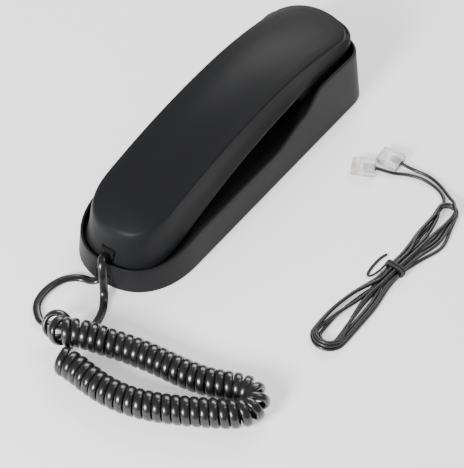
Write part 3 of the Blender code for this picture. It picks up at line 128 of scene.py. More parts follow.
class Graph:
    """The node tree of one material, with its Principled shader."""

    def __init__(self, name: str) -> None:
        """Start a material.

        Args:
            name: The material's name.
        """
        self.material = bpy.data.materials.new(name)
        self.material.use_nodes = True
        self.tree = self.material.node_tree
        self.shader = self.tree.nodes["Principled BSDF"]

    def node(self, kind: str, settings: dict | None = None,
             inputs: dict | None = None) -> bpy.types.Node:
        """Add one node.

        Args:
            kind: The node's type.
            settings: Its own properties, set first.
            inputs: Values or signals for its sockets, by name or index.

        Returns:
            The new node.
        """
        made = self.tree.nodes.new(kind)
        for key, value in (settings or {}).items():
            setattr(made, key, value)
        for key, value in (inputs or {}).items():
            self.feed(made, key, value)
        return made

    def feed(self, target: bpy.types.Node, key: str | int, value: object) -> None:
        """Give a node's socket a value or a link.

        Args:
            target: The node.
            key: The socket's name or index.
            value: A signal, a number or a tuple.
        """
        if isinstance(value, Signal):
            self.tree.links.new(value.socket, target.inputs[key])
        else:
            target.inputs[key].default_value = value

    def place(self) -> Signal:
        """The surface point in the object's own coordinates."""
        return Signal(self, self.node("ShaderNodeTexCoord").outputs["Object"])

    def noise(self, scale: float, detail: float = 2.0, roughness: float = 0.5) -> Signal:
        """A noise pattern in the object's own coordinates.

        Args:
            scale: Cycles per metre.
            detail: Octaves.
            roughness: How strong the finer octaves are.

        Returns:
            The pattern from 0 to 1.
        """
        made = self.node("ShaderNodeTexNoise", {}, {
            "Vector": self.place(), "Scale": scale, "Detail": detail, "Roughness": roughness})
        return Signal(self, made.outputs[0])

    def blend(self, share: Signal, first: tuple, second: tuple) -> Signal:
        """Mix two colours.

        Args:
            share: 0 for the first colour, 1 for the second.
            first: The first colour, linear RGB.
            second: The second colour, linear RGB.

        Returns:
            The mixed colour.
        """
        made = self.node("ShaderNodeMix", {"data_type": "RGBA"}, {0: share})
        made.inputs[6].default_value = (*first, 1.0)
        made.inputs[7].default_value = (*second, 1.0)
        return Signal(self, made.outputs[2])

    def bump(self, height: Signal, depth: float, strength: float) -> None:
        """Feed the shader's normal from a height.

        Args:
            height: The pattern.
            depth: Its full height in metres.
            strength: How much of it shows.
        """
        made = self.node("ShaderNodeBump", {}, {
            "Height": height, "Distance": depth, "Strength": strength})
        self.feed(self.shader, "Normal", Signal(self, made.outputs[0]))

    def dress(self, **values: object) -> None:
        """Set the shader's sockets by name, with underscores for blanks.

        Args:
            values: A value or a signal for each socket.
        """
        for key, value in values.items():
            self.feed(self.shader, key.replace("_", " "), value)


# ------------------------------------------------------------------ finishes
@dataclass(frozen=True)
class Surface:
    """A material with a name and a main colour."""

    name: str
    colour: tuple[float, float, float]

    def build(self) -> bpy.types.Material:
        """Make the material.

        Returns:
            The material.
        """
        graph = Graph(self.name)
        self.paint(graph)
        return graph.material

    def paint(self, graph: Graph) -> None:
        """Set the shader; each kind of surface does it in its own way."""
        raise NotImplementedError

    def tint(self, factor: float, lift: float = 0.0) -> tuple[float, ...]:
        """The colour times a factor, with a little white added."""
        return tuple(part * factor + lift for part in self.colour)


@dataclass(frozen=True)
class MouldedPlastic(Surface):
    """Injection-moulded plastic with a fine spark-eroded grain."""

    roughness: float
    grain: float = 2600.0
    grain_depth: float = 0.010 * MM
    cloud: float = 0.12
    shine: float = 0.1
    handling: float = 0.05

    def paint(self, graph: Graph) -> None:
        """Cloud the colour, rub the roughness and emboss the grain.

        Args:
            graph: The material's graph.
        """
        broad = graph.noise(26.0, 3.0)
        fine = graph.noise(self.grain, 2.0, 0.6)
        rubbed = graph.noise(70.0, 4.0, 0.6).step(0.52, 0.75)
        rough = self.roughness + (broad - 0.5) * 0.06 - rubbed * self.handling
        graph.dress(Base_Color=graph.blend(broad, self.tint(1.0 - self.cloud),
                                           self.tint(1.0 + self.cloud)),
                    Roughness=rough + (fine - 0.5) * 0.05, Specular_IOR_Level=self.shine)
        graph.bump(fine + graph.noise(self.grain * 0.35, 2.0) * 0.6, self.grain_depth, 0.6)


@dataclass(frozen=True)
class CordJacket(Surface):
    """Extruded flexible jacket, glossy, with faint waviness along it."""

    roughness: float
    coat: float
    dust_colour: tuple[float, float, float] = (0.03, 0.03, 0.031)

    def paint(self, graph: Graph) -> None:
        """Dust the colour and ripple the surface.

        Args:
            graph: The material's graph.
        """
        dust = graph.noise(900.0, 3.0, 0.7).step(0.6, 0.8)
        ripple = graph.noise(330.0, 2.0)
        graph.dress(Base_Color=graph.blend(dust * 0.35, self.colour, self.dust_colour),
                    Roughness=self.roughness + dust * 0.12 + (ripple - 0.5) * 0.08,
                    Coat_Weight=self.coat, Coat_Roughness=0.12, IOR=1.52)
        graph.bump(ripple, 0.05 * MM, 0.5)


@dataclass(frozen=True)
class ClearPlastic(Surface):
    """Clear polycarbonate of a modular plug."""

    clearest: tuple[float, float, float] = (0.96, 0.97, 0.97)

    def paint(self, graph: Graph) -> None:
        """Vary the clearness with faint flow marks.

        Args:
            graph: The material's graph.
        """
        flow = graph.noise(520.0, 3.0)
        graph.dress(Base_Color=graph.blend(flow, self.colour, self.clearest),
                    Roughness=0.10 + flow * 0.10, Transmission_Weight=0.6, IOR=1.45,
                    Specular_IOR_Level=0.6)
        graph.bump(flow, 0.04 * MM, 0.5)


@dataclass(frozen=True)
class PlainMetal(Surface):
    """Plated or bare metal with fine scratches."""

    roughness: float

    def paint(self, graph: Graph) -> None:
        """Dull the scratches.

        Args:
            graph: The material's graph.
        """
        scratch = graph.noise(1500.0, 3.0, 0.7)
        graph.dress(Base_Color=graph.blend(scratch, self.tint(0.72), self.colour), Metallic=1.0,
                    Roughness=self.roughness + (scratch - 0.5) * 0.2)
        graph.bump(scratch, 0.006 * MM, 0.5)


@dataclass(frozen=True)
class SoftRubber(Surface):
    """Matte rubber with a faint dusty bloom."""

    def paint(self, graph: Graph) -> None:
        """Pale the bloom.

        Args:
            graph: The material's graph.
        """
        bloom = graph.noise(400.0, 4.0, 0.7)
        graph.dress(Base_Color=graph.blend(bloom, self.colour, self.tint(1.8, 0.006)),
                    Roughness=0.72 + bloom * 0.2)
        graph.bump(bloom, 0.02 * MM, 0.6)


@dataclass(frozen=True)
class BoardLaminate(Surface):
    """Green circuit laminate with a grid of tinned pads."""

    tin_colour: tuple[float, float, float] = (0.55, 0.55, 0.52)

    def paint(self, graph: Graph) -> None:
        """Raise a tinned pad in the middle of each cell.

        Args:
            graph: The material's graph.
        """
        made = graph.node("ShaderNodeTexVoronoi", {"feature": "F1"}, {
            "Vector": graph.place(), "Scale": 390.0, "Randomness": 0.15})
        pad = Signal(graph, made.outputs["Distance"])
        tin = 1.0 - pad.step(0.16, 0.2)
        graph.dress(Base_Color=graph.blend(tin, self.colour, self.tin_colour),
                    Roughness=0.45 - tin * 0.15, Metallic=tin * 0.8)
        graph.bump(tin, 0.05 * MM, 0.5)


@dataclass(frozen=True)
class PrintedInk(Surface):
    """Pale pad-printed legend ink, slightly thin in places."""

    def paint(self, graph: Graph) -> None:
        """Thin the ink here and there.

        Args:
            graph: The material's graph.
        """
        thin = graph.noise(3000.0, 3.0, 0.7).step(0.55, 0.85)
        graph.dress(Base_Color=graph.blend(thin, self.colour, self.tint(0.7)),
                    Roughness=0.5 + thin * 0.2)


class Finish(Enum):
    """Every finish on the phone."""

    BASE = MouldedPlastic("base_plastic", (0.0140, 0.0142, 0.0152), 0.44)
    HANDSET = MouldedPlastic("handset_plastic", (0.0125, 0.0127, 0.0138), 0.42)
    KEY = MouldedPlastic("key_plastic", (0.045, 0.045, 0.05), 0.42, grain=3200.0)
    SOCKET = MouldedPlastic("socket_plastic", (0.012, 0.012, 0.012), 0.4)
    CORD = CordJacket("curly_cord_jacket", (0.0055, 0.0055, 0.006), 0.3, 0.5)
    LINE = CordJacket("line_cord_jacket", (0.006, 0.006, 0.0065), 0.36, 0.2)
    CLEAR = ClearPlastic("clear_plug_plastic", (0.9, 0.92, 0.93))
    STEEL = PlainMetal("plated_steel", (0.62, 0.62, 0.6), 0.32)
    CAPSULE = PlainMetal("capsule_metal", (0.5, 0.5, 0.48), 0.4)
    GOLD = PlainMetal("contact_gold", (0.85, 0.62, 0.28), 0.25)
    RUBBER = SoftRubber("soft_rubber", (0.018, 0.018, 0.018))
    BOARD = BoardLaminate("board_laminate", (0.02, 0.12, 0.045))
    INK = PrintedInk("legend_ink", (0.75, 0.76, 0.76))

    @property
    def material(self) -> bpy.types.Material:
        """The finish's material, built on first use."""
        found = bpy.data.materials.get(self.value.name)
        return found or self.value.build()


# ------------------------------------------------------------------ mesh helpers
def ease(start: float, end: float, value: np.ndarray) -> np.ndarray:
    """0 before start, 1 after end, a smooth step between.

    Args:
        start: Where the step begins.
        end: Where it ends.
        value: Where to read it.

    Returns:
        The share at each value.
    """
    share = np.clip((np.asarray(value, float) - start) / (end - start), 0.0, 1.0)
    return share * share * (3.0 - 2.0 * share)


def mix(first: np.ndarray, second: np.ndarray, share: np.ndarray) -> np.ndarray:
    """A share of the way from first to second."""
    return first + (second - first) * share


def through(rings: Sequence[np.ndarray], steps: Sequence[int]) -> list[np.ndarray]:
    """Smooth rings between the given ones.

    Args:
        rings: Rings with the same number of points.
        steps: How many steps each span between two rings takes.

    Returns:
        The rings of the smooth surface, first and last included.
    """
    points = np.stack(rings)
    spans = np.linalg.norm(np.diff(points, axis=0), axis=2, keepdims=True) + 1e-7
    slopes = np.diff(points, axis=0) / spans
    tangents = np.empty_like(points)
    tangents[0] = slopes[0]
    tangents[-1] = slopes[-1]
    weight = spans[:-1] + spans[1:]
    tangents[1:-1] = (slopes[1:] * spans[:-1] + slopes[:-1] * spans[1:]) / weight
    made = []
    for index, count in enumerate(steps):
        for step in range(count):
            t = step / count
            square = t * t
            cube = square * t
            made.append(points[index] * (2.0 * cube - 3.0 * square + 1.0)
                        + tangents[index] * spans[index] * (cube - 2.0 * square + t)
                        + points[index + 1] * (3.0 * square - 2.0 * cube)
                        + tangents[index + 1] * spans[index] * (cube - square))
    made.append(points[-1])
    return made


def smooth_line(points: Sequence[Sequence[float]], step: float) -> np.ndarray:
    """Evenly spaced points on a smooth curve through the given points.

    Args:
        points: The points to pass through.
        step: The distance between the results.

    Returns:
        The points, one row each.
    """
    route = np.array(points, float)
    route = np.vstack([2.0 * route[0] - route[1], route, 2.0 * route[-1] - route[-2]])
    t = np.linspace(0.0, 1.0, 12, endpoint=False)[:, None]
    fine = []
    for index in range(1, len(route) - 2):
        p0, p1, p2, p3 = route[index - 1:index + 3]
        fine.append(0.5 * (2.0 * p1 + (p2 - p0) * t + (2.0 * p0 - 5.0 * p1 + 4.0 * p2 - p3) * t ** 2
                           + (3.0 * p1 - p0 - 3.0 * p2 + p3) * t ** 3))
    fine = np.vstack([*fine, route[-2][None]])
    lengths = run(fine)
    wanted = np.linspace(0.0, lengths[-1], max(2, round(lengths[-1] / step)) + 1)
    return np.stack([np.interp(wanted, lengths, fine[:, axis])
                     for axis in range(fine.shape[1])], axis=1)


def run(points: np.ndarray) -> np.ndarray:
    """The distance along a line through the points, at each of them."""
    return np.concatenate([[0.0], np.cumsum(np.linalg.norm(np.diff(points, axis=0), axis=1))])


def turned(count: int, radius: float = 1.0) -> tuple[np.ndarray, np.ndarray]:
    """A circle of points, as their two coordinates."""
    angle = 2.0 * math.pi * np.arange(count) / count
    return radius * np.cos(angle), radius * np.sin(angle)


def placed(name: str, data: bpy.types.ID) -> bpy.types.Object:
    """Put a new object in the scene.

    Args:
        name: Its name.
        data: Its mesh, curve, light or camera.

    Returns:
        The object.
    """
    made = bpy.data.objects.new(name, data)
    bpy.context.scene.collection.objects.link(made)
    return made


def shade(data: bpy.types.Mesh, smooth: float) -> None:
    """Smooth a mesh, but keep edges over so many degrees sharp."""
    data.shade_smooth()
    data.set_sharp_from_angle(angle=math.radians(smooth))


class MeshWork:
    """Vertices and faces gathered into one mesh object."""

    def __init__(self) -> None:
        """Start empty."""
        self.vertices: list[Sequence[float]] = []
        self.faces: list[Sequence[int]] = []

    def ring(self, points: np.ndarray) -> int:
        """Add a ring of points.

        Args:
            points: The points in order.

        Returns:
            The number of the ring's first vertex.
        """
        first = len(self.vertices)
        self.vertices.extend(np.asarray(points, float).tolist())
        return first

    def bridge(self, low: int, high: int, count: int) -> None:
        """Join two closed rings.

        Args:
            low: The first vertex of one ring.
            high: The first vertex of the other.
            count: The points in each.
        """
        for index in range(count):
            after = (index + 1) % count
            self.faces.append((low + index, low + after, high + after, high + index))

    def sleeve(self, rings: Sequence[np.ndarray]) -> list[int]:
        """Join a list of rings in order.

        Args:
            rings: The rings.

        Returns:
            Each ring's first vertex.
        """
        firsts = [self.ring(one) for one in rings]
        for low, high in zip(firsts, firsts[1:]):
            self.bridge(low, high, len(rings[0]))
        return firsts

    def solid(self, rings: Sequence[np.ndarray]) -> None:
        """Join rings in order and close both ends with a face.

        Args:
            rings: The rings.
        """
        firsts = self.sleeve(rings)
        count = len(rings[0])
        for first in (firsts[0], firsts[-1]):
            self.faces.append(tuple(range(first, first + count)))

    def lid(self, first: int, count: int, height: HeightRule, columns: int = 14) -> None:
        """Close a mirrored ring with rows across it.

        Args:
            first: The ring's first vertex.
            count: The points in the ring.
            height: The lid's height by x and y.
            columns: The faces in each row.
        """
        half = count // 2 + 1
        rows = []
        for index in range(1, half - 1):
            right = first + index
            left = first + count - index
            x, y, _ = self.vertices[right]
            across = np.linspace(x, -x, columns + 1)[1:-1]
            heights = height(across, np.full_like(across, y))
            start = len(self.vertices)
            self.vertices.extend((float(a), y, float(b)) for a, b in zip(across, heights))
            rows.append([right, *range(start, start + columns - 1), left])
        for lower, upper in zip(rows, rows[1:]):
            for step in range(columns):
                self.faces.append((lower[step], lower[step + 1], upper[step + 1], upper[step]))
        for tip, row in ((first, rows[0]), (first + half - 1, rows[-1])):
            for step in range(columns):
                self.faces.append((tip, row[step + 1], row[step]))

    def make(self, name: str, finish: Finish, smooth: float = 38.0) -> bpy.types.Object:
        """Clean the mesh, turn its faces outward and build the object.

        Args:
            name: The piece's name.
            finish: Its finish.
            smooth: Edges sharper than this many degrees stay sharp.

        Returns:
            The object.
        """
        data = bpy.data.meshes.new(name)
        data.from_pydata([tuple(spot) for spot in self.vertices], [], self.faces)
        work = bmesh.new()
        work.from_mesh(data)
        bmesh.ops.remove_doubles(work, verts=work.verts, dist=1e-6)
        bmesh.ops.dissolve_degenerate(work, edges=work.edges, dist=1e-7)
        bmesh.ops.recalc_face_normals(work, faces=work.faces)
        work.to_mesh(data)
        work.free()
        data.materials.append(finish.material)
        shade(data, smooth)
        return placed(name, data)


def evaluated(source: bpy.types.Object) -> bpy.types.Object:
    """Turn an object and its modifiers into a plain mesh object of the same name.

    Args:
        source: The object, which is removed.

    Returns:
        The plain object.
    """
    bpy.context.view_layer.update()
    graph = bpy.context.evaluated_depsgraph_get()
    data = bpy.data.meshes.new_from_object(source.evaluated_get(graph), depsgraph=graph)
    name = source.name
    bpy.data.objects.remove(source, do_unlink=True)
    return placed(name, data)


def carve(target: bpy.types.Object, cutters: Sequence[bpy.types.Object],
          smooth: float = 38.0) -> bpy.types.Object:
    """Cut holes in a piece and remove the cutters.

    Args:
        target: The piece.
        cutters: The shapes to take away.
        smooth: Edges sharper than this many degrees stay sharp.

    Returns:
        The carved piece.
    """
    for cutter in cutters:
        step = target.modifiers.new(cutter.name, "BOOLEAN")
        step.operation = "DIFFERENCE"
        step.solver = "EXACT"
        step.object = cutter
    made = evaluated(target)
    for cutter in cutters:
        bpy.data.objects.remove(cutter, do_unlink=True)
    shade(made.data, smooth)
    return made


def rounded_ring(half_x: float, half_y: float, power: float, count: int = 32) -> np.ndarray:
    """A rounded rectangle as a superellipse.

    Args:
        half_x: Half its width.
        half_y: Half its length.
        power: 2 is an ellipse, larger is squarer.
        count: The points in it.

    Returns:
        The points in the XY plane.
    """
    angle = 2.0 * math.pi * (np.arange(count) + 0.5) / count
    cos, sin = np.cos(angle), np.sin(angle)
    x = half_x * np.sign(cos) * np.abs(cos) ** (2.0 / power)
    y = half_y * np.sign(sin) * np.abs(sin) ** (2.0 / power)
    return np.stack([x, y], axis=1)


def block(name: str, low: Point, high: Point, matrix: Matrix = Matrix(),
          power: float = 40.0) -> bpy.types.Object:
    """A block with softly rounded upright edges, to cut with.

    Args:
        name: Its name.
        low: Its lowest corner, in millimetres.
        high: Its highest corner, in millimetres.
        matrix: Where its own frame lies.
        power: How square its corners are.

    Returns:
        The object.
    """
    low_corner, high_corner = np.array(low) * MM, np.array(high) * MM
    half = 0.5 * (high_corner - low_corner)
    flat = rounded_ring(half[0], half[1], power) + (low_corner + half)[:2]
    work = MeshWork()
    work.solid([np.column_stack([flat, np.full(len(flat), z)])
                for z in (low_corner[2], high_corner[2])])
    made = work.make(name, Finish.SOCKET)
    made.data.transform(matrix)
    return made


def lathe(work: MeshWork, profile: Sequence[tuple[float, float]], centre: Point,
          sides: int) -> None:
    """Add a closed turned shape about an upright axis.

    Args:
        work: Where it goes.
        profile: Radius and height pairs, bottom to top.
        centre: The axis's foot.
        sides: The steps around.
    """
    x, y = turned(sides)
    work.solid([np.column_stack([centre[0] + radius * x, centre[1] + radius * y,
                                 np.full(sides, centre[2] + height)])
                for radius, height in profile])


# ------------------------------------------------------------------ repeated details
class Repeat:
    """A Geometry Nodes row of one small shape, ending in a plain mesh."""

    def __init__(self, name: str, finish: Finish) -> None:
        """Start the tree.

        Args:
            name: The piece's name.
            finish: Its finish.
        """
        self.name = name
        self.finish = finish
        self.tree = bpy.data.node_groups.new(name + "_tree", "GeometryNodeTree")
        self.values: dict[str, object] = {}
        self.tree.interface.new_socket("Geometry", in_out="OUTPUT",
                                       socket_type="NodeSocketGeometry")

    def inputs(self, **values: int | float | Point) -> bpy.types.bpy_prop_collection:
        """Add the tree's named inputs.

        Args:
            values: The value of each.

        Returns:
            The sockets that give them.
        """
        kinds = {int: "NodeSocketInt", float: "NodeSocketFloat", tuple: "NodeSocketVector"}
        for label, value in values.items():
            socket = self.tree.interface.new_socket(label, in_out="INPUT",
                                                    socket_type=kinds[type(value)])
            self.values[socket.identifier] = value
        return self.node("NodeGroupInput").outputs

    def node(self, kind: str, settings: dict | None = None,
             inputs: dict | None = None) -> bpy.types.Node:
        """Add one node.

        Args:
            kind: The node's type.
            settings: Its own properties.
            inputs: Values or output sockets for its inputs, by name.

        Returns:
            The node.
        """
        made = self.tree.nodes.new(kind)
        for key, value in (settings or {}).items():
            setattr(made, key, value)
        for key, value in (inputs or {}).items():
            if isinstance(value, bpy.types.NodeSocket):
                self.tree.links.new(value, made.inputs[key])
            else:
                made.inputs[key].default_value = value
        return made

    def row(self, count: int, start: Point, step: Point, size: Point,
            turn: Point = (0.0, 0.0, 0.0)) -> bpy.types.Object:
        """Make a row of small blocks.

        Args:
            count: How many.
            start: The first one's middle.
            step: From one to the next.
            size: The size of each.
            turn: Each one's rotation.

        Returns:
            The plain mesh object.
        """
        given = self.inputs(Count=count, Start=start, Step=step, Size=size, Turn=turn)
        line = self.node("GeometryNodeMeshLine", {"mode": "OFFSET"}, {
            "Count": given["Count"], "Start Location": given["Start"],
            "Offset": given["Step"]})
        cube = self.node("GeometryNodeMeshCube", {}, {"Size": given["Size"]})
        return self.spread(line.outputs["Mesh"], cube.outputs["Mesh"], given["Turn"])

    def circle(self, count: int, radius: float, centre: Point, ring: float,
               height: float) -> bpy.types.Object:
        """Make round pegs on a circle.

        Args:
            count: How many.
            radius: The circle's radius.
            centre: The circle's middle.
            ring: Each peg's radius.
            height: Each peg's height.

        Returns:
            The plain mesh object.
        """
        given = self.inputs(Count=count, Radius=radius, Centre=centre, Peg=ring, Height=height)
        spots = self.node("GeometryNodeMeshCircle", {}, {
            "Vertices": given["Count"], "Radius": given["Radius"]})
        moved = self.node("GeometryNodeTransform", {}, {
            "Geometry": spots.outputs["Mesh"], "Translation": given["Centre"]})
        peg = self.node("GeometryNodeMeshCylinder", {}, {
            "Vertices": 20, "Radius": given["Peg"], "Depth": given["Height"]})
        return self.spread(moved.outputs["Geometry"], peg.outputs["Mesh"], (0.0, 0.0, 0.0))

    def spread(self, points: bpy.types.NodeSocket, shape: bpy.types.NodeSocket,
               turn: object) -> bpy.types.Object:
        """Put the shape on each point and turn the result into a plain mesh.

        Args:
            points: The points' socket.
            shape: The shape's socket.
            turn: A rotation or its socket.

        Returns:
            The plain mesh object.
        """
        copies = self.node("GeometryNodeInstanceOnPoints", {}, {
            "Points": points, "Instance": shape, "Rotation": turn})
        real = self.node("GeometryNodeRealizeInstances", {}, {
            "Geometry": copies.outputs["Instances"]})
        dressed = self.node("GeometryNodeSetMaterial", {}, {
            "Geometry": real.outputs["Geometry"], "Material": self.finish.material})
        end = self.node("NodeGroupOutput")
        self.tree.links.new(dressed.outputs["Geometry"], end.inputs["Geometry"])
        holder = placed(self.name, bpy.data.meshes.new(self.name))
        step = holder.modifiers.new("repeat", "NODES")
        step.node_group = self.tree
        for identifier, value in self.values.items():
            step[identifier] = value
        return evaluated(holder)


# ------------------------------------------------------------------ the phone's form
@dataclass(frozen=True)
class PhoneForm:
    """The outer form that the two housings share, in metres."""

    near_end: float = -95.0 * MM
    far_end: float = 95.0 * MM
    half_width: float = 30.5 * MM
    near_depth: float = 36.5 * MM
    near_power: float = 2.34
    far_depth: float = 19.0 * MM
    far_power: float = 2.6
    draft: float = 0.10
    foot: float = 0.8 * MM
    wall: float = 1.8 * MM
    rim: float = 1.3 * MM
    scoop_reach: float = 9.0 * MM
    rim_low: float = 14.6 * MM
    rim_rise: float = 4.7 * MM
    rim_shoulder: float = 6.0 * MM
    rim_step: float = 8.0 * MM
    rim_fall: float = 1.4 * MM
    floor_low: float = 10.2 * MM
    floor_rise: float = 3.0 * MM
    floor_step: float = 9.4 * MM
    hand_near: float = -91.0 * MM
    hand_far: float = 95.6 * MM
    half_low: float = 24.3 * MM
    half_crease: float = 20.2 * MM
    half_parting: float = 22.4 * MM
    half_cup: float = 23.0 * MM
    half_face: float = 20.4 * MM
    hand_near_depth: float = 31.0 * MM
    hand_near_power: float = 2.6
    hand_far_depth: float = 21.0 * MM
    hand_far_power: float = 2.35
    crease_peak_y: float = 20.0 * MM
    crease_peak: float = 48.2 * MM
    crease_far: float = 34.6 * MM
    crease_near: float = 31.0 * MM
    crown: float = 3.8 * MM
    roll: float = 6.5 * MM
    roll_length: float = 24.0 * MM
    roll_power: float = 2.2
    parting_start: float = 40.0 * MM
    parting_high: float = 38.4 * MM
    parting_near: float = 6.5 * MM
    parting_least: float = 13.2 * MM
    parting_bend: float = 3.0 * MM
    ear_parting: float = 38.2 * MM
    ear_low: float = 33.0 * MM
    ear_face: float = 23.0 * MM
    mouth_face: float = 10.6 * MM
    panel_start: float = -46.0 * MM
    panel_end: float = 34.0 * MM
    panel_height_start: float = 22.5 * MM
    panel_slope: float = 0.13
    under: float = 5.2 * MM
    steps: tuple[int, int, int] = (22, 54, 20)

    def outline(self, half: float, near: float, far: float, near_depth: float,
                near_power: float, far_depth: float, far_power: float) -> np.ndarray:
        """A mirrored outline with two superelliptic ends, near tip first.

        Args:
            half: Half its width.
            near: Its end towards the cords.
            far: Its other end.
            near_depth: How long the near end's rounding is.
            near_power: How square the near end is.
            far_depth: How long the far end's rounding is.
            far_power: How square the far end is.

        Returns:
            The closed ring's points in the XY plane.
        """
        low, straight, high = self.steps
        a = 0.5 * math.pi * (1.0 - np.arange(low + 1) / low)
        near_x = half * np.cos(a) ** (2.0 / near_power)
        near_y = near + near_depth * (1.0 - np.sin(a) ** (2.0 / near_power))
        side_y = np.linspace(near + near_depth, far - far_depth, straight + 1)[1:-1]
        b = 0.5 * math.pi * np.arange(high + 1) / high
        far_x = half * np.cos(b) ** (2.0 / far_power)
        far_y = far - far_depth * (1.0 - np.sin(b) ** (2.0 / far_power))
        near_x[0] = 0.0
        far_x[-1] = 0.0
        x = np.concatenate([near_x, np.full(len(side_y), half), far_x])
        y = np.concatenate([near_y, side_y, far_y])
        return np.stack([np.concatenate([x, -x[-2:0:-1]]), np.concatenate([y, y[-2:0:-1]])],
                        axis=1)

    def rim_height(self, y: np.ndarray) -> np.ndarray:
        """The cradle rim's height along the phone."""
        near, far = self.near_end, self.far_end
        rise = self.rim_low + self.rim_rise * ease(near, near + 45.0 * MM, y)
        shoulder = self.rim_shoulder * ease(far - 87.0 * MM, far - 59.0 * MM, y)
        step = self.rim_step * ease(far - 61.0 * MM, far - 44.0 * MM, y)
        return rise + shoulder + step - self.rim_fall * ease(far - 43.0 * MM, far, y)

    def scoop_share(self, y: np.ndarray) -> np.ndarray:
        """Where the finger scoops run: 1 along the middle, 0 at both ends."""
        near, far = self.near_end, self.far_end
        return (ease(near + 25.0 * MM, near + 47.0 * MM, y)
                * (1.0 - ease(far - 69.0 * MM, far - 51.0 * MM, y)))

    def floor_height(self, y: np.ndarray) -> np.ndarray:
        """The cradle floor's height along the phone."""
        near, far = self.near_end, self.far_end
        rise = self.floor_low + self.floor_rise * ease(near + 23.0 * MM, near + 37.0 * MM, y)
        return rise + self.floor_step * ease(far - 63.0 * MM, far - 52.0 * MM, y)

    def base_ring(self, inset: float, height: Callable[[np.ndarray], np.ndarray] | float,
                  scoop: float = 0.0) -> np.ndarray:
        """One ring of the base housing.

        Args:
            inset: How far it stands in from the foot's outline.
            height: Its height, or a rule for it along the phone.
            scoop: How much further in it lies along the scoops.

        Returns:
            The ring's points.
        """
        flat = self.outline(self.half_width, self.near_end, self.far_end, self.near_depth,
                            self.near_power, self.far_depth, self.far_power)
        y = flat[:, 1]
        z = height(y) if callable(height) else np.full(len(y), height)
        inward = inset + self.draft * z + scoop * self.scoop_share(y)
        near_turn = self.near_end + self.near_depth
        middle = np.clip(y, near_turn, self.far_end - self.far_depth)
        x_scale = 1.0 - inward / self.half_width
        depth = np.where(y < near_turn, self.near_depth, self.far_depth)
        return np.stack([flat[:, 0] * x_scale, middle + (y - middle) * (1.0 - inward / depth),
                         z], axis=1)

    def crease_height(self, y: np.ndarray) -> np.ndarray:
        """The height of the handset's edge between crown and side."""
        peak = self.crease_peak_y
        far = y > peak
        tip = np.where(far, self.crease_far, self.crease_near)
        reach = np.where(far, self.hand_far - peak, self.hand_near - peak)
        end = np.maximum(0.0, 1.0 - (y - self.hand_near) / self.roll_length)
        return mix(self.crease_peak, tip, ((y - peak) / reach) ** 2) - self.roll * end ** self.roll_power

    def crown_height(self, x: np.ndarray, y: np.ndarray) -> np.ndarray:
        """The height of the handset's crowned back."""
        across = np.minimum(1.0, np.abs(x) / self.half_crease)
        return self.crease_height(y) + self.crown * (1.0 - across ** 2)

    def ear_share(self, y: np.ndarray) -> np.ndarray:
        """1 around the ear cup, 0 along the grip."""
        return ease(self.far_end - 71.0 * MM, self.far_end - 45.0 * MM, y)

    def parting_height(self, y: np.ndarray) -> np.ndarray:
        """The height of the handset's parting line."""
        share = (y - self.parting_start) / (self.hand_near - self.parting_start)
        curve = mix(self.parting_high, self.parting_near, share ** 2) - self.parting_least
        grip = self.parting_least + 0.5 * (curve + np.hypot(curve, self.parting_bend))
        ear = self.ear_parting - 1.5 * np.maximum(0.0, y - 44.0 * MM) ** 2
        return mix(grip, ear, self.ear_share(y))

    def low_height(self, y: np.ndarray) -> np.ndarray:
        """The height of the front shell's lower edge line."""
        return mix(self.parting_height(y), self.ear_low,
                   ease(self.panel_end, self.panel_end + 20.0 * MM, y))

    def panel_height(self, y: np.ndarray) -> np.ndarray:
        """The height of the sloping key panel."""
        return self.panel_height_start + self.panel_slope * (y - self.panel_start)

    def face_height(self, x: np.ndarray, y: np.ndarray) -> np.ndarray:
        """The height of the handset's face, which looks down at rest."""
        mouth = np.maximum(self.mouth_face, self.parting_height(y) - 4.0 * MM)
        body = mix(mouth, self.panel_height(y),
                   ease(self.panel_start - 6.0 * MM, self.panel_start, y))
        return mix(body, self.ear_face, ease(self.panel_end, 44.0 * MM, y)) + 0.0 * x

    def hand_outline(self, half: float, near: float, far: float) -> np.ndarray:
        """One outline of the handset, its ends scaled with its width."""
        scale = half / self.half_low
        return self.outline(half, near, far, self.hand_near_depth * scale, self.hand_near_power,
                            self.hand_far_depth * scale, self.hand_far_power)

    def hand_ring(self, half_grip: float, half_ear: float, near: float, far: float,
                  height: HeightRule) -> np.ndarray:
        """One ring of the handset.

        Args:
            half_grip: Half its width along the grip.
            half_ear: Half its width at the ear cup.
            near: How far it stands in from the handset's near tip.
            far: How far it stands in from the far tip.
            height: Its height by x and y.

        Returns:
            The ring's points.
        """
        grip = self.hand_outline(half_grip, self.hand_near + near, self.hand_far - far)
        ear = self.hand_outline(half_ear, self.hand_near + near, self.hand_far - far)
        flat = mix(grip, ear, self.ear_share(grip[:, 1])[:, None])
        return np.column_stack([flat, height(flat[:, 0], flat[:, 1])])


FORM = PhoneForm()
PANEL_TURN = math.atan(FORM.panel_slope)


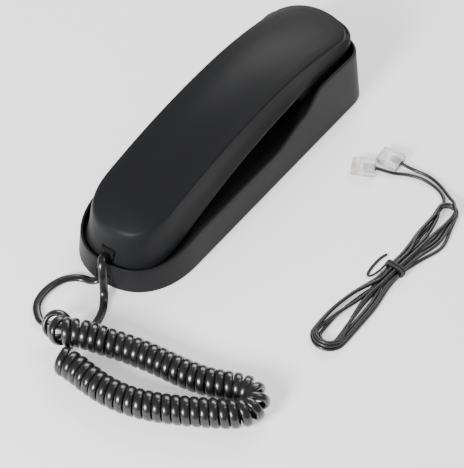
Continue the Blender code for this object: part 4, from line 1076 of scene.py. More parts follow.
# ------------------------------------------------------------------ base
@dataclass
class BaseHousing:
    """The cradle: a thin wall with a rolled rim, finger scoops and a floor."""

    form: PhoneForm = FORM
    rim_round: float = 0.45 * MM
    lid_columns: int = 16
    port: tuple[Point, Point] = ((-4.1, -99.0, 1.6), (4.1, -83.0, 7.6))
    line_port: tuple[Point, Point] = ((-36.0, 65.05, 4.65), (-22.0, 74.95, 11.65))
    slider_slot: tuple[Point, Point] = ((-36.0, 42.8, 12.6), (-22.0, 53.2, 15.4))
    hook_slot: tuple[Point, Point] = ((-4.3, 50.2, 18.0), (4.3, 60.8, 30.0))
    skirt_height: float = 15.9 * MM
    dot_radii: tuple[float, ...] = (0.45 * MM, 0.6 * MM, 0.8 * MM)
    dot_start: float = 45.0 * MM
    dot_pitch: float = 3.0 * MM
    dot_height: float = 19.0 * MM
    dot_sides: int = 16

    def rings(self) -> list[np.ndarray]:
        """The rings of the closed shell, outside foot to inside foot."""
        form = self.form
        rim = form.rim_height

        def between(share: float) -> Callable[[np.ndarray], np.ndarray]:
            """The height a share of the way from the rim to the floor."""
            return lambda y: mix(rim(y), form.floor_height(y), share)

        def lowered(drop: float) -> Callable[[np.ndarray], np.ndarray]:
            """The rim's height less a drop."""
            return lambda y: rim(y) - drop

        roll = self.rim_round
        outer = [form.base_ring(0.0, lowered(roll * 6.0) if share == 1.0 else
                                (lambda y, part=share: mix(form.foot, rim(y), part)))
                 for share in (0.0, 0.3, 0.6, 1.0)]
        edge = [form.base_ring(roll * (1.0 - math.cos(a)), lowered(roll * (1.0 - math.sin(a))))
                for a in np.linspace(0.0, 0.5 * math.pi, 5)]
        inner = [form.base_ring(form.rim - roll * (1.0 - math.sin(a)),
                                lowered(roll * (1.0 - math.cos(a))))
                 for a in np.linspace(0.0, 0.5 * math.pi, 4)]
        reach = form.scoop_reach
        bowl = [form.base_ring(form.rim, lowered(roll)),
                form.base_ring(form.rim + 0.3 * MM, between(0.35), 0.10 * reach),
                form.base_ring(form.wall + 0.2 * MM, between(0.72), 0.42 * reach),
                form.base_ring(form.wall + 0.5 * MM, between(0.94), 0.80 * reach),
                form.base_ring(form.wall + 1.2 * MM, form.floor_height, reach)]
        return [*outer, *edge, *inner, *through(bowl, (5, 5, 4, 3))[1:]]

    def make(self) -> bpy.types.Object:
        """Build the cradle with its openings.

        Returns:
            The finished piece.
        """
        form = self.form
        work = MeshWork()
        rings = self.rings()
        firsts = work.sleeve(rings)
        count = len(rings[0])
        work.lid(firsts[-1], count, lambda x, y: form.floor_height(y), self.lid_columns)

        def lining(y: np.ndarray) -> np.ndarray:
            """The underside of the cradle's floor."""
            return form.floor_height(y) - form.wall

        under = form.base_ring(form.wall + 1.2 * MM, lining, form.scoop_reach)
        skirt = form.base_ring(form.wall + 0.1 * MM, lambda y: mix(
            lining(y), self.skirt_height, form.scoop_share(y)))
        inside = work.sleeve([form.base_ring(form.wall, form.foot), skirt, under])
        work.bridge(firsts[0], inside[0], count)
        work.lid(inside[-1], count, lambda x, y: lining(y), self.lid_columns)
        made = work.make("cradle_housing", Finish.BASE)
        made = carve(made, [block("opening_cut", low, high) for low, high in (
            self.port, self.line_port, self.slider_slot, self.hook_slot)])
        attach(made, "base")
        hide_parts("base_housing")
        return made

    def slider_marks(self) -> bpy.types.Object:
        """Three raised dots beside the ringer slider, growing towards loud."""
        work = MeshWork()
        wall = self.form.half_width - self.form.draft * self.dot_height
        for index, radius in enumerate(self.dot_radii):
            across, up = turned(self.dot_sides, radius)
            work.solid([np.column_stack([np.full(self.dot_sides, -wall - out * MM),
                                         self.dot_start + self.dot_pitch * index + share * across,
                                         self.dot_height + share * up])
                        for out, share in ((-0.3, 1.0), (0.10, 1.0), (0.2, 0.8))])
        made = work.make("ringer_level_dots", Finish.BASE)
        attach(made, "base")
        return made


# ------------------------------------------------------------------ handset
@dataclass
class Handset:
    """The two shells of the handset and what shows in its face."""

    form: PhoneForm = FORM
    seam: float = 0.3 * MM
    lid_columns: int = 18
    port: tuple[Point, Point] = ((-4.1, -94.0, 14.8), (4.1, -79.0, 20.8))
    ear_y: float = 70.0 * MM
    ear_z: float = 23.5 * MM
    ear_circle: float = 5.0 * MM
    ear_hole: float = 0.9 * MM
    ear_holes: int = 6
    mouth_y: float = -64.0 * MM
    mouth_hole: float = 1.0 * MM
    screw_spots: tuple[float, float] = (-51.5 * MM, 23.0 * MM)
    screw_hole: float = 2.7 * MM
    screw_seat: float = 1.2 * MM
    window_reach: float = 5.0
    screw_reach: float = 5.0 * MM
    hole_reach: float = 4.0 * MM

    def tipness(self, x: np.ndarray) -> np.ndarray:
        """1 on the middle line, 0 at the sides."""
        return 1.0 - np.minimum(1.0, np.abs(x) / self.form.half_low)

    def back_rings(self) -> list[np.ndarray]:
        """The back shell's outer rings, crown to parting line."""
        form = self.form

        def edge(x: np.ndarray, y: np.ndarray) -> np.ndarray:
            """Just under the crease."""
            return form.crease_height(y) - mix(1.0 * MM, 3.0 * MM, self.tipness(x))

        def side(x: np.ndarray, y: np.ndarray) -> np.ndarray:
            """Between the crease and the parting line."""
            return mix(form.crease_height(y), form.parting_height(y), 0.6)

        half, crown = form.half_crease, form.crown_height
        rings = [
            form.hand_ring(0.55 * half, 0.55 * half, 14 * MM, 14 * MM, crown),
            form.hand_ring(0.90 * half, 0.90 * half, 7.2 * MM, 6.4 * MM, crown),
            form.hand_ring(half, half, 4.8 * MM, 3.8 * MM,
                           lambda x, y: crown(x, y) - 0.2 * MM),
            form.hand_ring(half + 0.35 * MM, half + 0.35 * MM, 3.0 * MM, 2.1 * MM, edge),
            form.hand_ring(0.5 * (half + form.half_low), 0.5 * (half + form.half_parting),
                           1.5 * MM, 0.8 * MM, side),
            form.hand_ring(form.half_low, form.half_parting, 0.0, 0.0,
                           lambda x, y: form.parting_height(y))]
        return through(rings, (6, 4, 3, 6, 7))

    def make_back(self) -> bpy.types.Object:
        """Build the back shell, with its cord port.

        Returns:
            The finished piece.
        """
        form = self.form
        work = MeshWork()
        outer = self.back_rings()
        firsts = work.sleeve(outer)
        count = len(outer[0])
        work.lid(firsts[0], count, form.crown_height, self.lid_columns)
        wall = form.wall

        def lining(x: np.ndarray, y: np.ndarray) -> np.ndarray:
            """The inside of the crowned back."""
            return form.crease_height(y) - wall

        inside = [
            form.hand_ring(form.half_low - wall, form.half_parting - wall, wall, wall,
                           lambda x, y: form.parting_height(y)),
            form.hand_ring(form.half_crease - 0.6 * MM, form.half_crease - 0.6 * MM, 5.0 * MM,
                           4.0 * MM, lambda x, y: mix(lining(x, y), form.parting_height(y), 0.3)),
            form.hand_ring(form.half_crease - 3 * MM, form.half_crease - 3 * MM, 8 * MM, 8 * MM,
                           lining)]
        inner = work.sleeve(inside)
        work.bridge(firsts[-1], inner[0], count)
        work.lid(inner[-1], count, lining, self.lid_columns)
        made = work.make("handset_back", Finish.HANDSET, 30.0)
        made = carve(made, [block("handset_port_cut", *self.port)], 30.0)
        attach(made, "handset")
        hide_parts("handset_back_shell")
        return made

    def front_rings(self) -> list[np.ndarray]:
        """The front shell's outer rings, parting line to face."""
        form = self.form

        def edge(x: np.ndarray, y: np.ndarray) -> np.ndarray:
            """The upper band below the parting line."""
            return form.low_height(y) - mix(1.3 * MM, 0.2 * MM, form.ear_share(y))

        def ledge(x: np.ndarray, y: np.ndarray) -> np.ndarray:
            """The start of the lower rounding."""
            return edge(x, y) - mix(0.8 * MM, 0.2 * MM, form.ear_share(y))

        def rounding(x: np.ndarray, y: np.ndarray) -> np.ndarray:
            """The lower rounding."""
            return mix(edge(x, y), form.face_height(x, y), 0.55)

        low, cup, under = form.half_low, form.half_cup, form.under
        top = [
            form.hand_ring(low - 0.55 * MM, form.half_parting - 0.55 * MM, 0.55 * MM, 0.55 * MM,
                           lambda x, y: form.parting_height(y) - self.seam),
            form.hand_ring(low - 0.25 * MM, mix(form.half_parting, cup, 0.1) - 0.25 * MM,
                           0.25 * MM, 0.25 * MM,
                           lambda x, y: form.parting_height(y) - 2.0 * self.seam)]
        rest = [
            top[-1],
            form.hand_ring(low - 0.25 * MM, cup - 0.25 * MM, 0.25 * MM, 0.25 * MM, edge),
            form.hand_ring(low - 0.8 * MM, cup - 0.7 * MM, 0.8 * MM, under, ledge),
            form.hand_ring(low - 1.6 * MM, cup - 1.2 * MM, 1.6 * MM, under + 0.4 * MM,
                           rounding),
            form.hand_ring(form.half_face, form.half_face, 4.5 * MM, under + 2.2 * MM,
                           form.face_height)]
        return [top[0], *through(rest, (5, 4, 4, 5))]

    def make_front(self) -> bpy.types.Object:
        """Build the front shell with its key windows, ear holes and mouth hole.

        Returns:
            The finished piece.
        """
        form = self.form
        work = MeshWork()
        outer = self.front_rings()
        firsts = work.sleeve(outer)
        count = len(outer[0])
        work.lid(firsts[-1], count, form.face_height, self.lid_columns)
        wall = form.wall

        def lining(x: np.ndarray, y: np.ndarray) -> np.ndarray:
            """The inside of the face."""
            return form.face_height(x, y) + wall

        inside = [
            form.hand_ring(form.half_low - wall - self.seam,
                           form.half_parting - wall - self.seam, wall + self.seam,
                           wall + self.seam, lambda x, y: form.parting_height(y) - self.seam),
            form.hand_ring(form.half_face - wall, form.half_face - wall, 7.5 * MM,
                           form.under + 4 * MM, lining)]
        inner = work.sleeve(inside)
        work.bridge(firsts[0], inner[0], count)
        work.lid(inner[-1], count, lining, self.lid_columns)
        made = work.make("handset_front", Finish.HANDSET, 30.0)
        made = carve(made, self.openings(), 30.0)
        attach(made, "handset")
        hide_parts("handset_front_shell")
        return made

    def openings(self) -> list[bpy.types.Object]:
        """The shapes that cut the face's windows and holes.

        Returns:
            The cutters.
        """
        pad = Keypad()
        x, y = 0.5 * pad.width / MM + pad.gap, 0.5 * pad.depth / MM + pad.gap
        cutters = [block(f"window_{key.name}", (-x, -y, -self.window_reach),
                         (x, y, self.window_reach), key.matrix(), 7.0)
                   for key in pad.spots()]
        work = MeshWork()
        ring_x, ring_y = turned(self.ear_holes, self.ear_circle)
        through_face = ((self.ear_hole, -self.hole_reach), (self.ear_hole, self.hole_reach))
        for x, y in ((0.0, 0.0), *zip(ring_x, ring_y)):
            lathe(work, through_face, (x, self.ear_y + y, self.ear_z), 24)
        lathe(work, ((self.mouth_hole, -self.hole_reach), (self.mouth_hole, self.hole_reach)),
              self.on_face(self.mouth_y), 24)
        for spot in self.screw_spots:
            lathe(work, ((self.screw_hole, -self.screw_reach), (self.screw_hole, self.screw_seat)),
                  self.on_face(spot), 32)
        cutters.append(work.make("round_cuts", Finish.SOCKET))
        return cutters

    def on_face(self, y: float) -> Point:
        """The point of the face on the middle line at y."""
        return 0.0, y, float(self.form.face_height(np.array(0.0), np.array(y)))


# ------------------------------------------------------------------ keys
@dataclass(frozen=True)
class KeySpot:
    """One key: its body's name, its legend and its place on the panel."""

    name: str
    legend: str
    x: float
    y: float

    def matrix(self) -> Matrix:
        """The key's frame: Z along its travel, origin on the panel's face."""
        z = FORM.panel_height_start + FORM.panel_slope * (self.y - FORM.panel_start)
        return Matrix.Translation((self.x, self.y, z)) @ Matrix.Rotation(PANEL_TURN, 4, "X")


@dataclass
class Keypad:
    """Fifteen keys in the handset's face, with dished tops and printed legends."""

    width: float = 9.0 * MM
    depth: float = 6.0 * MM
    gap: float = 0.25
    profile: tuple[tuple[float, float], ...] = (
        (-0.7, 2.9), (-0.7, 2.1), (0.0, 2.05), (0.0, 0.0), (0.05, -0.9), (0.2, -1.25),
        (0.5, -1.4), (1.1, -1.34), (2.0, -1.22))
    sides: int = 40
    letter: float = 3.4 * MM
    word: float = 1.55 * MM
    print_depth: float = -1.27 * MM
    pitch: tuple[float, float] = (12.0 * MM, 9.6 * MM)
    top_y: float = -7.0 * MM
    function_y: float = 6.0 * MM

    def spots(self) -> list[KeySpot]:
        """Every key's place.

        Returns:
            The fifteen spots.
        """
        across, along = self.pitch
        made = []
        names = ("1", "2", "3", "4", "5", "6", "7", "8", "9", "star", "0", "hash")
        for index, name in enumerate(names):
            legend = {"star": "*", "hash": "#"}.get(name, name)
            made.append(KeySpot(f"key_{name}", legend, (1 - index % 3) * across,
                                self.top_y - along * (index // 3)))
        for index, name in enumerate(("redial", "flash", "mute")):
            made.append(KeySpot(f"key_{name}", name.upper(), (1 - index) * across,
                                self.function_y))
        return made

    def make_cap(self, spot: KeySpot) -> bpy.types.Object:
        """Build one key cap, face downward.

        Args:
            spot: The key.

        Returns:
            The finished cap.
        """
        half_x, half_y = 0.5 * self.width, 0.5 * self.depth
        work = MeshWork()
        work.solid([np.column_stack([
            rounded_ring(half_x - inset * MM, half_y - inset * MM, 5.5, self.sides),
            np.full(self.sides, z * MM)]) for inset, z in self.profile])
        made = work.make(f"{spot.name}_cap", Finish.KEY, 50.0)
        made.data.transform(spot.matrix())
        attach(made, spot.name)
        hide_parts(spot.name)
        return made

    def make_legend(self, spot: KeySpot) -> bpy.types.Object:
        """Print one key's legend just proud of its face.

        Args:
            spot: The key.

        Returns:
            The finished lettering.
        """
        curve = bpy.data.curves.new(f"{spot.name}_legend", "FONT")
        curve.body = spot.legend
        curve.size = self.letter if len(spot.legend) == 1 else self.word
        curve.align_x = "CENTER"
        curve.align_y = "CENTER"
        curve.extrude = 0.03 * MM
        curve.resolution_u = 3
        made = evaluated(placed(f"{spot.name}_legend", curve))
        facing = Matrix.Translation((0.0, 0.0, self.print_depth)) @ Matrix.Rotation(
            math.pi, 4, "Y")
        made.data.transform(spot.matrix() @ facing)
        made.data.materials.clear()
        made.data.materials.append(Finish.INK.material)
        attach(made, spot.name)
        return made


# ------------------------------------------------------------------ modular plugs
@dataclass
class ModularPlug:
    """A modular plug: its body, conductors and gold contacts, sizes in millimetres."""

    name: str
    node: str
    body: str
    tail: Point
    ahead: Point
    size: Point
    finish: Finish
    contacts: int = 4
    contact_pitch: float = 1.02 * MM
    wire_radius: float = 0.45 * MM
    edge: float = 0.25 * MM

    def frame(self) -> Matrix:
        """The plug's frame: origin at its tail, Y towards its nose."""
        ahead = Vector(self.ahead).normalized()
        side = Vector((ahead.y, -ahead.x, 0.0))
        turn = Matrix((side, ahead, Vector((0.0, 0.0, 1.0)))).transposed()
        return Matrix.Translation(Vector(self.tail) * MM) @ turn.to_4x4()

    def make(self) -> list[bpy.types.Object]:
        """Build the plug.

        Returns:
            Its body, conductors and contacts.
        """
        width, length, height = (part * MM for part in self.size)
        bottom = -0.5 * height
        profile = ((0.0, bottom + 0.3 * MM), (0.3 * MM, bottom), (length - 0.3 * MM, bottom),
                   (length, bottom + 0.3 * MM), (length, 0.2 * height),
                   (length - 1.2 * MM, 0.32 * height), (length - 4.2 * MM, 0.32 * height),
                   (length - 4.5 * MM, 0.42 * height), (length - 6.0 * MM, 0.46 * height),
                   (0.1 * length, 0.48 * height), (0.0, 0.36 * height))
        work = MeshWork()
        half = 0.5 * width
        work.solid([
            np.array([(x, y + np.sign(0.5 * length - y) * shrink, z - np.sign(z) * shrink)
                      for y, z in profile])
            for x, shrink in ((-half, self.edge), (self.edge - half, 0.0),
                              (half - self.edge, 0.0), (half, self.edge))])
        shell = work.make(self.name, self.finish, 30.0)
        inside = MeshWork()
        step = self.contact_pitch
        wire_x, wire_z = turned(8, self.wire_radius)
        for index in range(self.contacts):
            x = (index - 0.5 * (self.contacts - 1)) * step
            inside.solid([np.column_stack([x + wire_x, np.full(8, y * MM),
                                           bottom + 2.2 * MM + wire_z])
                          for y in (-0.4, 2.6, 6.0)])
        wires = inside.make(f"{self.name}_conductors", Finish.LINE)
        blades = Repeat(f"{self.name}_contacts", Finish.GOLD).row(
            self.contacts,
            (-0.5 * (self.contacts - 1) * step, length - 2.2 * MM, bottom + 1.1 * MM),
            (step, 0.0, 0.0), (0.3 * MM, 3.0 * MM, 1.6 * MM))
        made = [shell, wires, blades]
        for piece in made:
            piece.data.transform(self.frame())
            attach(piece, self.body)
        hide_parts(self.node)
        return made


PLUGS = (
    ModularPlug("handset_plug", "handset_cord_plug", "handset", (0.0, -90.5, 17.8),
                (0.0, 1.0, 0.0), (7.6, 11.6, 5.4), Finish.SOCKET),
    ModularPlug("base_plug", "base_cord_plug", "base", (0.0, -94.6, 4.6), (0.0, 1.0, 0.0),
                (7.6, 11.6, 5.4), Finish.SOCKET),
    ModularPlug("line_plug_first", "line_plug_a", "base", (65.6, 44.4, 2.7),
                (-0.89, -0.45, 0.0), (9.6, 12.3, 5.0), Finish.CLEAR),
    ModularPlug("line_plug_second", "line_plug_b", "base", (74.4, 55.0, 2.7),
                (-1.0, -0.05, 0.0), (9.6, 12.3, 5.0), Finish.CLEAR))


# ------------------------------------------------------------------ cords
HANDSET_LEAD_ROUTE = (
    (0.0, -91.6, 17.8), (0.5, -94.2, 18.2), (2.2, -96.8, 17.2), (4.0, -98.8, 13.0),
    (5.2, -100.2, 7.5), (6.6, -101.8, 3.4), (8.6, -104.6, 1.7), (11.4, -109.0, 1.7),
    (13.4, -114.5, 1.7), (14.0, -121.0, 1.7), (13.2, -127.5, 1.7), (12.0, -133.0, 1.7),
    (13.2, -137.2, 1.9), (15.0, -139.6, 4.6), (16.6, -141.0, 8.6), (18.2, -143.2, 11.9))
BASE_LEAD_ROUTE = (
    (0.0, -95.5, 4.6), (-1.4, -97.8, 3.8), (-4.6, -98.8, 2.2), (-8.8, -99.6, 1.7),
    (-12.8, -102.2, 1.7), (-16.0, -106.4, 1.7), (-17.8, -112.6, 1.7), (-17.8, -119.4, 1.7),
    (-15.8, -125.2, 1.7), (-12.0, -129.2, 1.6), (-7.0, -131.4, 1.4))
COIL_ROUTE = (
    (1.8, -127.2, 7.2), (2.6, -131.4, 8.2), (5.2, -134.4, 9.8), (8.6, -135.2, 10.5),
    (11.9, -133.8, 10.6), (17.0, -131.0, 10.5), (28.8, -127.2, 9.6), (41.0, -122.8, 7.6),
    (54.0, -120.2, 7.1), (66.0, -118.8, 7.1), (77.0, -116.6, 7.1), (84.8, -113.8, 7.1),
    (91.0, -111.0, 7.1), (96.8, -109.2, 7.1), (102.0, -110.4, 7.1), (104.4, -115.0, 7.1),
    (102.6, -120.4, 7.1), (97.2, -125.2, 7.1), (90.4, -129.6, 7.1), (82.8, -134.2, 7.1),
    (74.4, -138.8, 7.1), (66.8, -142.4, 7.1), (59.1, -145.2, 7.1), (52.0, -146.8, 7.1),
    (43.5, -147.6, 7.1), (35.0, -147.2, 7.1), (26.5, -146.3, 7.1), (19.2, -146.2, 7.1))


def tangents_of(path: np.ndarray) -> np.ndarray:
    """The unit directions along a path."""
    found = np.gradient(path, axis=0)
    return found / np.linalg.norm(found, axis=1, keepdims=True)


def square_to(vectors: np.ndarray, tangents: np.ndarray) -> np.ndarray:
    """Unit vectors made square to the tangents."""
    kept = vectors - (vectors * tangents).sum(axis=1, keepdims=True) * tangents
    return kept / np.maximum(np.linalg.norm(kept, axis=1, keepdims=True), 1e-9)


def carried(first: np.ndarray, tangents: np.ndarray) -> np.ndarray:
    """Carry a normal along a path without twisting it.

    Args:
        first: The normal at the path's start.
        tangents: The path's directions.

    Returns:
        The normal at each point.
    """
    found = [square_to(first[None], tangents[:1])[0]]
    for tangent in tangents[1:]:
        normal = found[-1] - found[-1].dot(tangent) * tangent
        found.append(normal / np.linalg.norm(normal))
    return np.array(found)


def strip_mesh(name: str, path: np.ndarray, normals: np.ndarray, half_width: float,
               half_thick: float, power: float, sides: int, finish: Finish) -> bpy.types.Object:
    """A cord of rounded flat section along a path.

    Args:
        name: The piece's name.
        path: The points of its middle.
        normals: The direction of its thickness at each.
        half_width: Half its width.
        half_thick: Half its thickness.
        power: How square its section is.
        sides: The steps around it.
        finish: Its finish.

    Returns:
        The object.
    """
    tangents = tangents_of(path)
    normals = square_to(normals, tangents)
    across = np.cross(tangents, normals)
    section = rounded_ring(half_width, half_thick, power, sides)
    rings = [point + section[:, :1] * side + section[:, 1:] * normal
             for point, side, normal in zip(path, across, normals)]
    work = MeshWork()
    work.solid(rings)
    return work.make(name, finish, 70.0)


@dataclass
class CurlyCord:
    """The handset's curly cord: one flat strand, wound between two straight leads."""

    width: float = 4.2 * MM
    thickness: float = 2.6 * MM
    winding_radius: float = 5.75 * MM
    pitch: float = 4.3 * MM
    first_pitch: float = 8.5 * MM
    per_turn: int = 28

    def winding(self) -> tuple[np.ndarray, np.ndarray]:
        """The wound part.

        Returns:
            Its points and the outward direction at each.
        """
        middle = smooth_line(np.array(COIL_ROUTE) * MM, 0.25 * MM)
        tangents = tangents_of(middle)
        up = square_to(np.tile((0.0, 0.0, 1.0), (len(middle), 1)), tangents)
        side = np.cross(tangents, up)
        along = run(middle)
        pitch = mix(self.first_pitch, self.pitch, ease(4.0 * MM, 12.0 * MM, along))
        turns = np.concatenate([[0.0], np.cumsum(np.diff(along) / pitch[1:])])
        whole = math.floor(turns[-1]) + 0.5
        turns *= whole / turns[-1]
        wanted = np.linspace(0.0, whole, int(whole * self.per_turn) + 1)
        angle = math.pi + 2.0 * math.pi * wanted

        def read(values: np.ndarray) -> np.ndarray:
            """The values at the wanted turns."""
            return np.stack([np.interp(wanted, turns, values[:, axis]) for axis in range(3)],
                            axis=1)

        outward = (np.cos(angle)[:, None] * read(up) + np.sin(angle)[:, None] * read(side))
        return read(middle) + self.winding_radius * outward, outward

    def lead(self, route: Sequence[Point], wound: np.ndarray, outward: np.ndarray,
             rest: Point) -> tuple[np.ndarray, np.ndarray]:
        """One straight lead, from its plug to the winding.

        Args:
            route: Its points, plug first.
            wound: The winding's points from this end.
            outward: The winding's outward directions from this end.
            rest: The direction of its thickness where it lies flat.

        Returns:
            Its points and its normals, plug first.
        """
        ends = wound[:13:4]
        points = smooth_line([*(np.array(route) * MM), *ends], 1.1 * MM)
        keep = np.linalg.norm(points - ends[0], axis=1).argmin()
        points = points[:keep]
        tangents = tangents_of(np.vstack([points, ends[:1]]))[:-1]
        free = carried(outward[0], tangents[::-1])
        calm = square_to(np.tile(rest, (len(points), 1)), tangents[::-1])
        turn = np.arctan2((np.cross(free, calm) * tangents[::-1]).sum(axis=1),
                          (free * calm).sum(axis=1))
        turn = np.unwrap(turn, period=math.pi)
        share = ease(4.0, 34.0, np.arange(len(points)))
        turn = (turn * share)[:, None]
        normals = free * np.cos(turn) + np.cross(tangents[::-1], free) * np.sin(turn)
        return points, normals[::-1]

    def make(self, plugs: Sequence[bpy.types.Object]) -> bpy.types.Object:
        """Build the cord.

        Args:
            plugs: The pieces on its two ends.

        Returns:
            The finished cord.
        """
        wound, outward = self.winding()
        low, low_normals = self.lead(BASE_LEAD_ROUTE, wound, outward, (0.0, 0.0, -1.0))
        high, high_normals = self.lead(HANDSET_LEAD_ROUTE, wound[::-1], outward[::-1],
                                       (0.0, 0.0, 1.0))
        path = np.vstack([low, wound, high[::-1]])
        normals = np.vstack([low_normals, outward, high_normals[::-1]])
        made = strip_mesh("curly_cord", path, normals, 0.5 * self.width,
                          0.5 * self.thickness, 2.3, 16, Finish.CORD)
        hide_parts("coiled_cord", "handset_lead", "base_lead")
        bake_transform(made)
        list(plugs)
        LOG.info("curly cord: %.3f m in %d points", run(path)[-1], len(path))
        return made


@dataclass
class LineCord:
    """The line cord: a tied hank with a plug on each end."""

    diameter: float = 1.8 * MM
    tie_y: float = -6.0
    tie_reach: float = 12.0
    tie_centre: tuple[float, float] = (110.2, 3.1)
    tie_half: tuple[float, float] = (4.9, 2.55)
    tie_squareness: float = 3.4
    tie_pitch: float = 1.5
    tie_lowest: float = 0.55
    tie_tail: tuple[Point, ...] = (
        (105.0, -4.8, 2.4), (104.0, -8.4, 1.0), (102.8, -13.4, 0.7), (101.2, -15.4, 0.7),
        (100.0, -13.0, 0.7), (99.6, -8.0, 0.7), (99.9, -2.6, 0.7), (101.0, 1.4, 0.7))
    sag: float = 0.35
    waist: tuple[tuple[float, float], ...] = ((3.2, 0.95), (1.1, 0.95), (3.2, 2.6), (1.1, 2.6),
                                              (1.1, 4.3))
    top_fold: tuple[float, float] = (110.9, 40.8)
    low_fold: tuple[float, float] = (106.8, -57.0)
    top_radius: tuple[float, ...] = (6.0, 4.1, 5.8, 4.0, 5.0)
    low_radius: tuple[float, ...] = (8.2, 4.2, 7.4, 5.9, 6.6)
    belly: tuple[float, ...] = (0.8, 1.0, 1.9, 2.8, 3.6)
    inner: tuple[tuple[int, float], ...] = ((1, 1.0), (3, -1.0), (4, 1.0))
    reach: float = 26.0
    inner_reach: float = 47.0
    inner_belly: float = 3.0
    slack: tuple[float, float, float] = (2.1, 20.0, 12.0)
    lead_a: tuple[Point, ...] = (
        (66.0, 44.6, 2.6), (69.0, 46.0, 1.9), (74.4, 48.2, 1.1), (81.0, 51.6, 1.1),
        (88.0, 53.4, 1.1), (94.5, 53.0, 1.1), (100.0, 51.4, 1.1), (104.6, 48.0, 1.1),
        (106.4, 43.2, 1.0), (106.6, 39.0, 1.0))
    lead_b: tuple[Point, ...] = (
        (74.8, 55.0, 2.6), (78.0, 55.4, 1.9), (83.0, 56.4, 1.1), (89.0, 57.0, 1.1),
        (95.0, 56.0, 1.1), (101.0, 53.6, 1.2), (106.6, 50.0, 2.2), (111.4, 46.2, 4.4),
        (115.2, 40.6, 4.6))
    spine: tuple[Point, ...] = (
        (111.8, 34.0, 6.2), (112.4, 21.0, 6.9), (111.4, 8.0, 6.2), (110.5, -1.5, 4.8),
        (110.2, -6.0, 4.1), (109.8, -10.5, 4.6), (109.2, -17.0, 6.0), (108.0, -30.0, 7.9),
        (106.9, -44.0, 9.1))

    def height(self, lap: int, y: float) -> float:
        """A lap's height: the top lap sags a little away from the tie."""
        sag = self.sag * min(1.0, abs(y - self.tie_y) / self.tie_reach)
        return self.waist[lap][1] - (sag if lap == len(self.waist) - 1 else 0.0)

    def strand(self, lap: int, side: float) -> list[Point]:
        """One strand of a lap, top to bottom.

        Args:
            lap: Which lap, 0 to 4.
            side: 1 for the right, -1 for the left.

        Returns:
            Its points.
        """
        made = []
        inner = (lap, side) in self.inner
        reach = self.inner_reach if inner else self.reach
        power = self.belly[lap] + (self.inner_belly if inner else 0.0)
        waist = self.waist[lap][0]
        slack, slack_y, slack_length = self.slack if (lap, side) == (0, 1.0) else (0.0, 0.0, 1.0)
        for x, y, half in self.spine:
            near = min(1.0, abs(y - self.tie_y) / reach)
            radii = self.top_radius if y > self.tie_y else self.low_radius
            open_half = half - 0.5 * self.diameter / MM - (max(radii) - radii[lap])
            share = (near * near * (3.0 - 2.0 * near)) ** power
            offset = waist + (max(open_half, waist) - waist) * share
            offset += slack * math.exp(-((y - slack_y) / slack_length) ** 2)
            made.append((x + side * offset, y, self.height(lap, y)))
        return made

    def fold(self, middle: tuple[float, float], radius: float, start: float, z: float,
             after: float) -> list[Point]:
        """Half a turn at one end of the hank, counter-clockwise.

        Args:
            middle: Its centre.
            radius: Its radius.
            start: The angle that it starts from, in degrees.
            z: Its height at the start.
            after: Its height at the end.

        Returns:
            Its points.
        """
        made = []
        for step in range(7):
            angle = math.radians(start + 30.0 * step)
            made.append((middle[0] + radius * math.cos(angle),
                         middle[1] + radius * math.sin(angle), z + (after - z) * step / 6.0))
        return made

    def laps(self) -> list[Point]:
        """The hank's five laps.

        Returns:
            The points, starting down the left side.
        """
        made = []
        for lap, low_radius in enumerate(self.low_radius):
            z = self.height(lap, self.top_fold[1])
            made += self.strand(lap, -1.0)
            made += self.fold(self.low_fold, low_radius, 180.0, z, z)
            made += reversed(self.strand(lap, 1.0))
            if lap < len(self.low_radius) - 1:
                radius = 0.5 * (self.top_radius[lap] + self.top_radius[lap + 1])
                made += self.fold(self.top_fold, radius, 0.0, z,
                                  self.height(lap + 1, self.top_fold[1]))
        return made

    def make(self, plugs: Sequence[bpy.types.Object]) -> bpy.types.Object:
        """Build the cord.

        Args:
            plugs: The pieces on its two ends.

        Returns:
            The finished cord.
        """
        route = np.array([*self.lead_a, *self.laps(), *self.lead_b[::-1]]) * MM
        path = smooth_line(route, 1.2 * MM)
        tangents = tangents_of(path)
        normals = square_to(np.tile((0.0, 0.0, 1.0), (len(path), 1)), tangents)
        made = strip_mesh("line_cord", path, normals, 0.5 * self.diameter,
                          0.5 * self.diameter, 2.2, 10, Finish.LINE)
        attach(made, "base")
        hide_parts("line_cord_hank", "line_lead_a", "line_lead_b")
        list(plugs)
        LOG.info("line cord: %.3f m in %d points", run(path)[-1], len(path))
        return made

    def make_tie(self) -> bpy.types.Object:
        """The wire tie: two wraps round the waist and a loose tail.

        Returns:
            The finished tie.
        """
        turns = np.linspace(0.0, 2.0, 65)
        angle = 2.0 * math.pi * turns - 0.5 * math.pi
        centre_x, centre_z = self.tie_centre
        half_x, half_z = self.tie_half
        flat = 2.0 / self.tie_squareness
        x = centre_x + half_x * np.sign(np.cos(angle)) * np.abs(np.cos(angle)) ** flat
        z = centre_z + half_z * np.sign(np.sin(angle)) * np.abs(np.sin(angle)) ** flat
        y = self.tie_y - 1.0 + self.tie_pitch * turns
        wraps = [(a, b, max(self.tie_lowest, c)) for a, b, c in zip(x, y, z)]
        path = smooth_line(np.array([*wraps[:-3], *self.tie_tail]) * MM, 0.7 * MM)
        tangents = tangents_of(path)
        normals = carried(np.array((0.3, 1.0, 0.2)), tangents)
        made = strip_mesh("wire_tie", path, normals, 0.75 * MM, 0.55 * MM, 2.4, 10,
                          Finish.RUBBER)
        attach(made, "base")
        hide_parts("hank_tie")
        return made


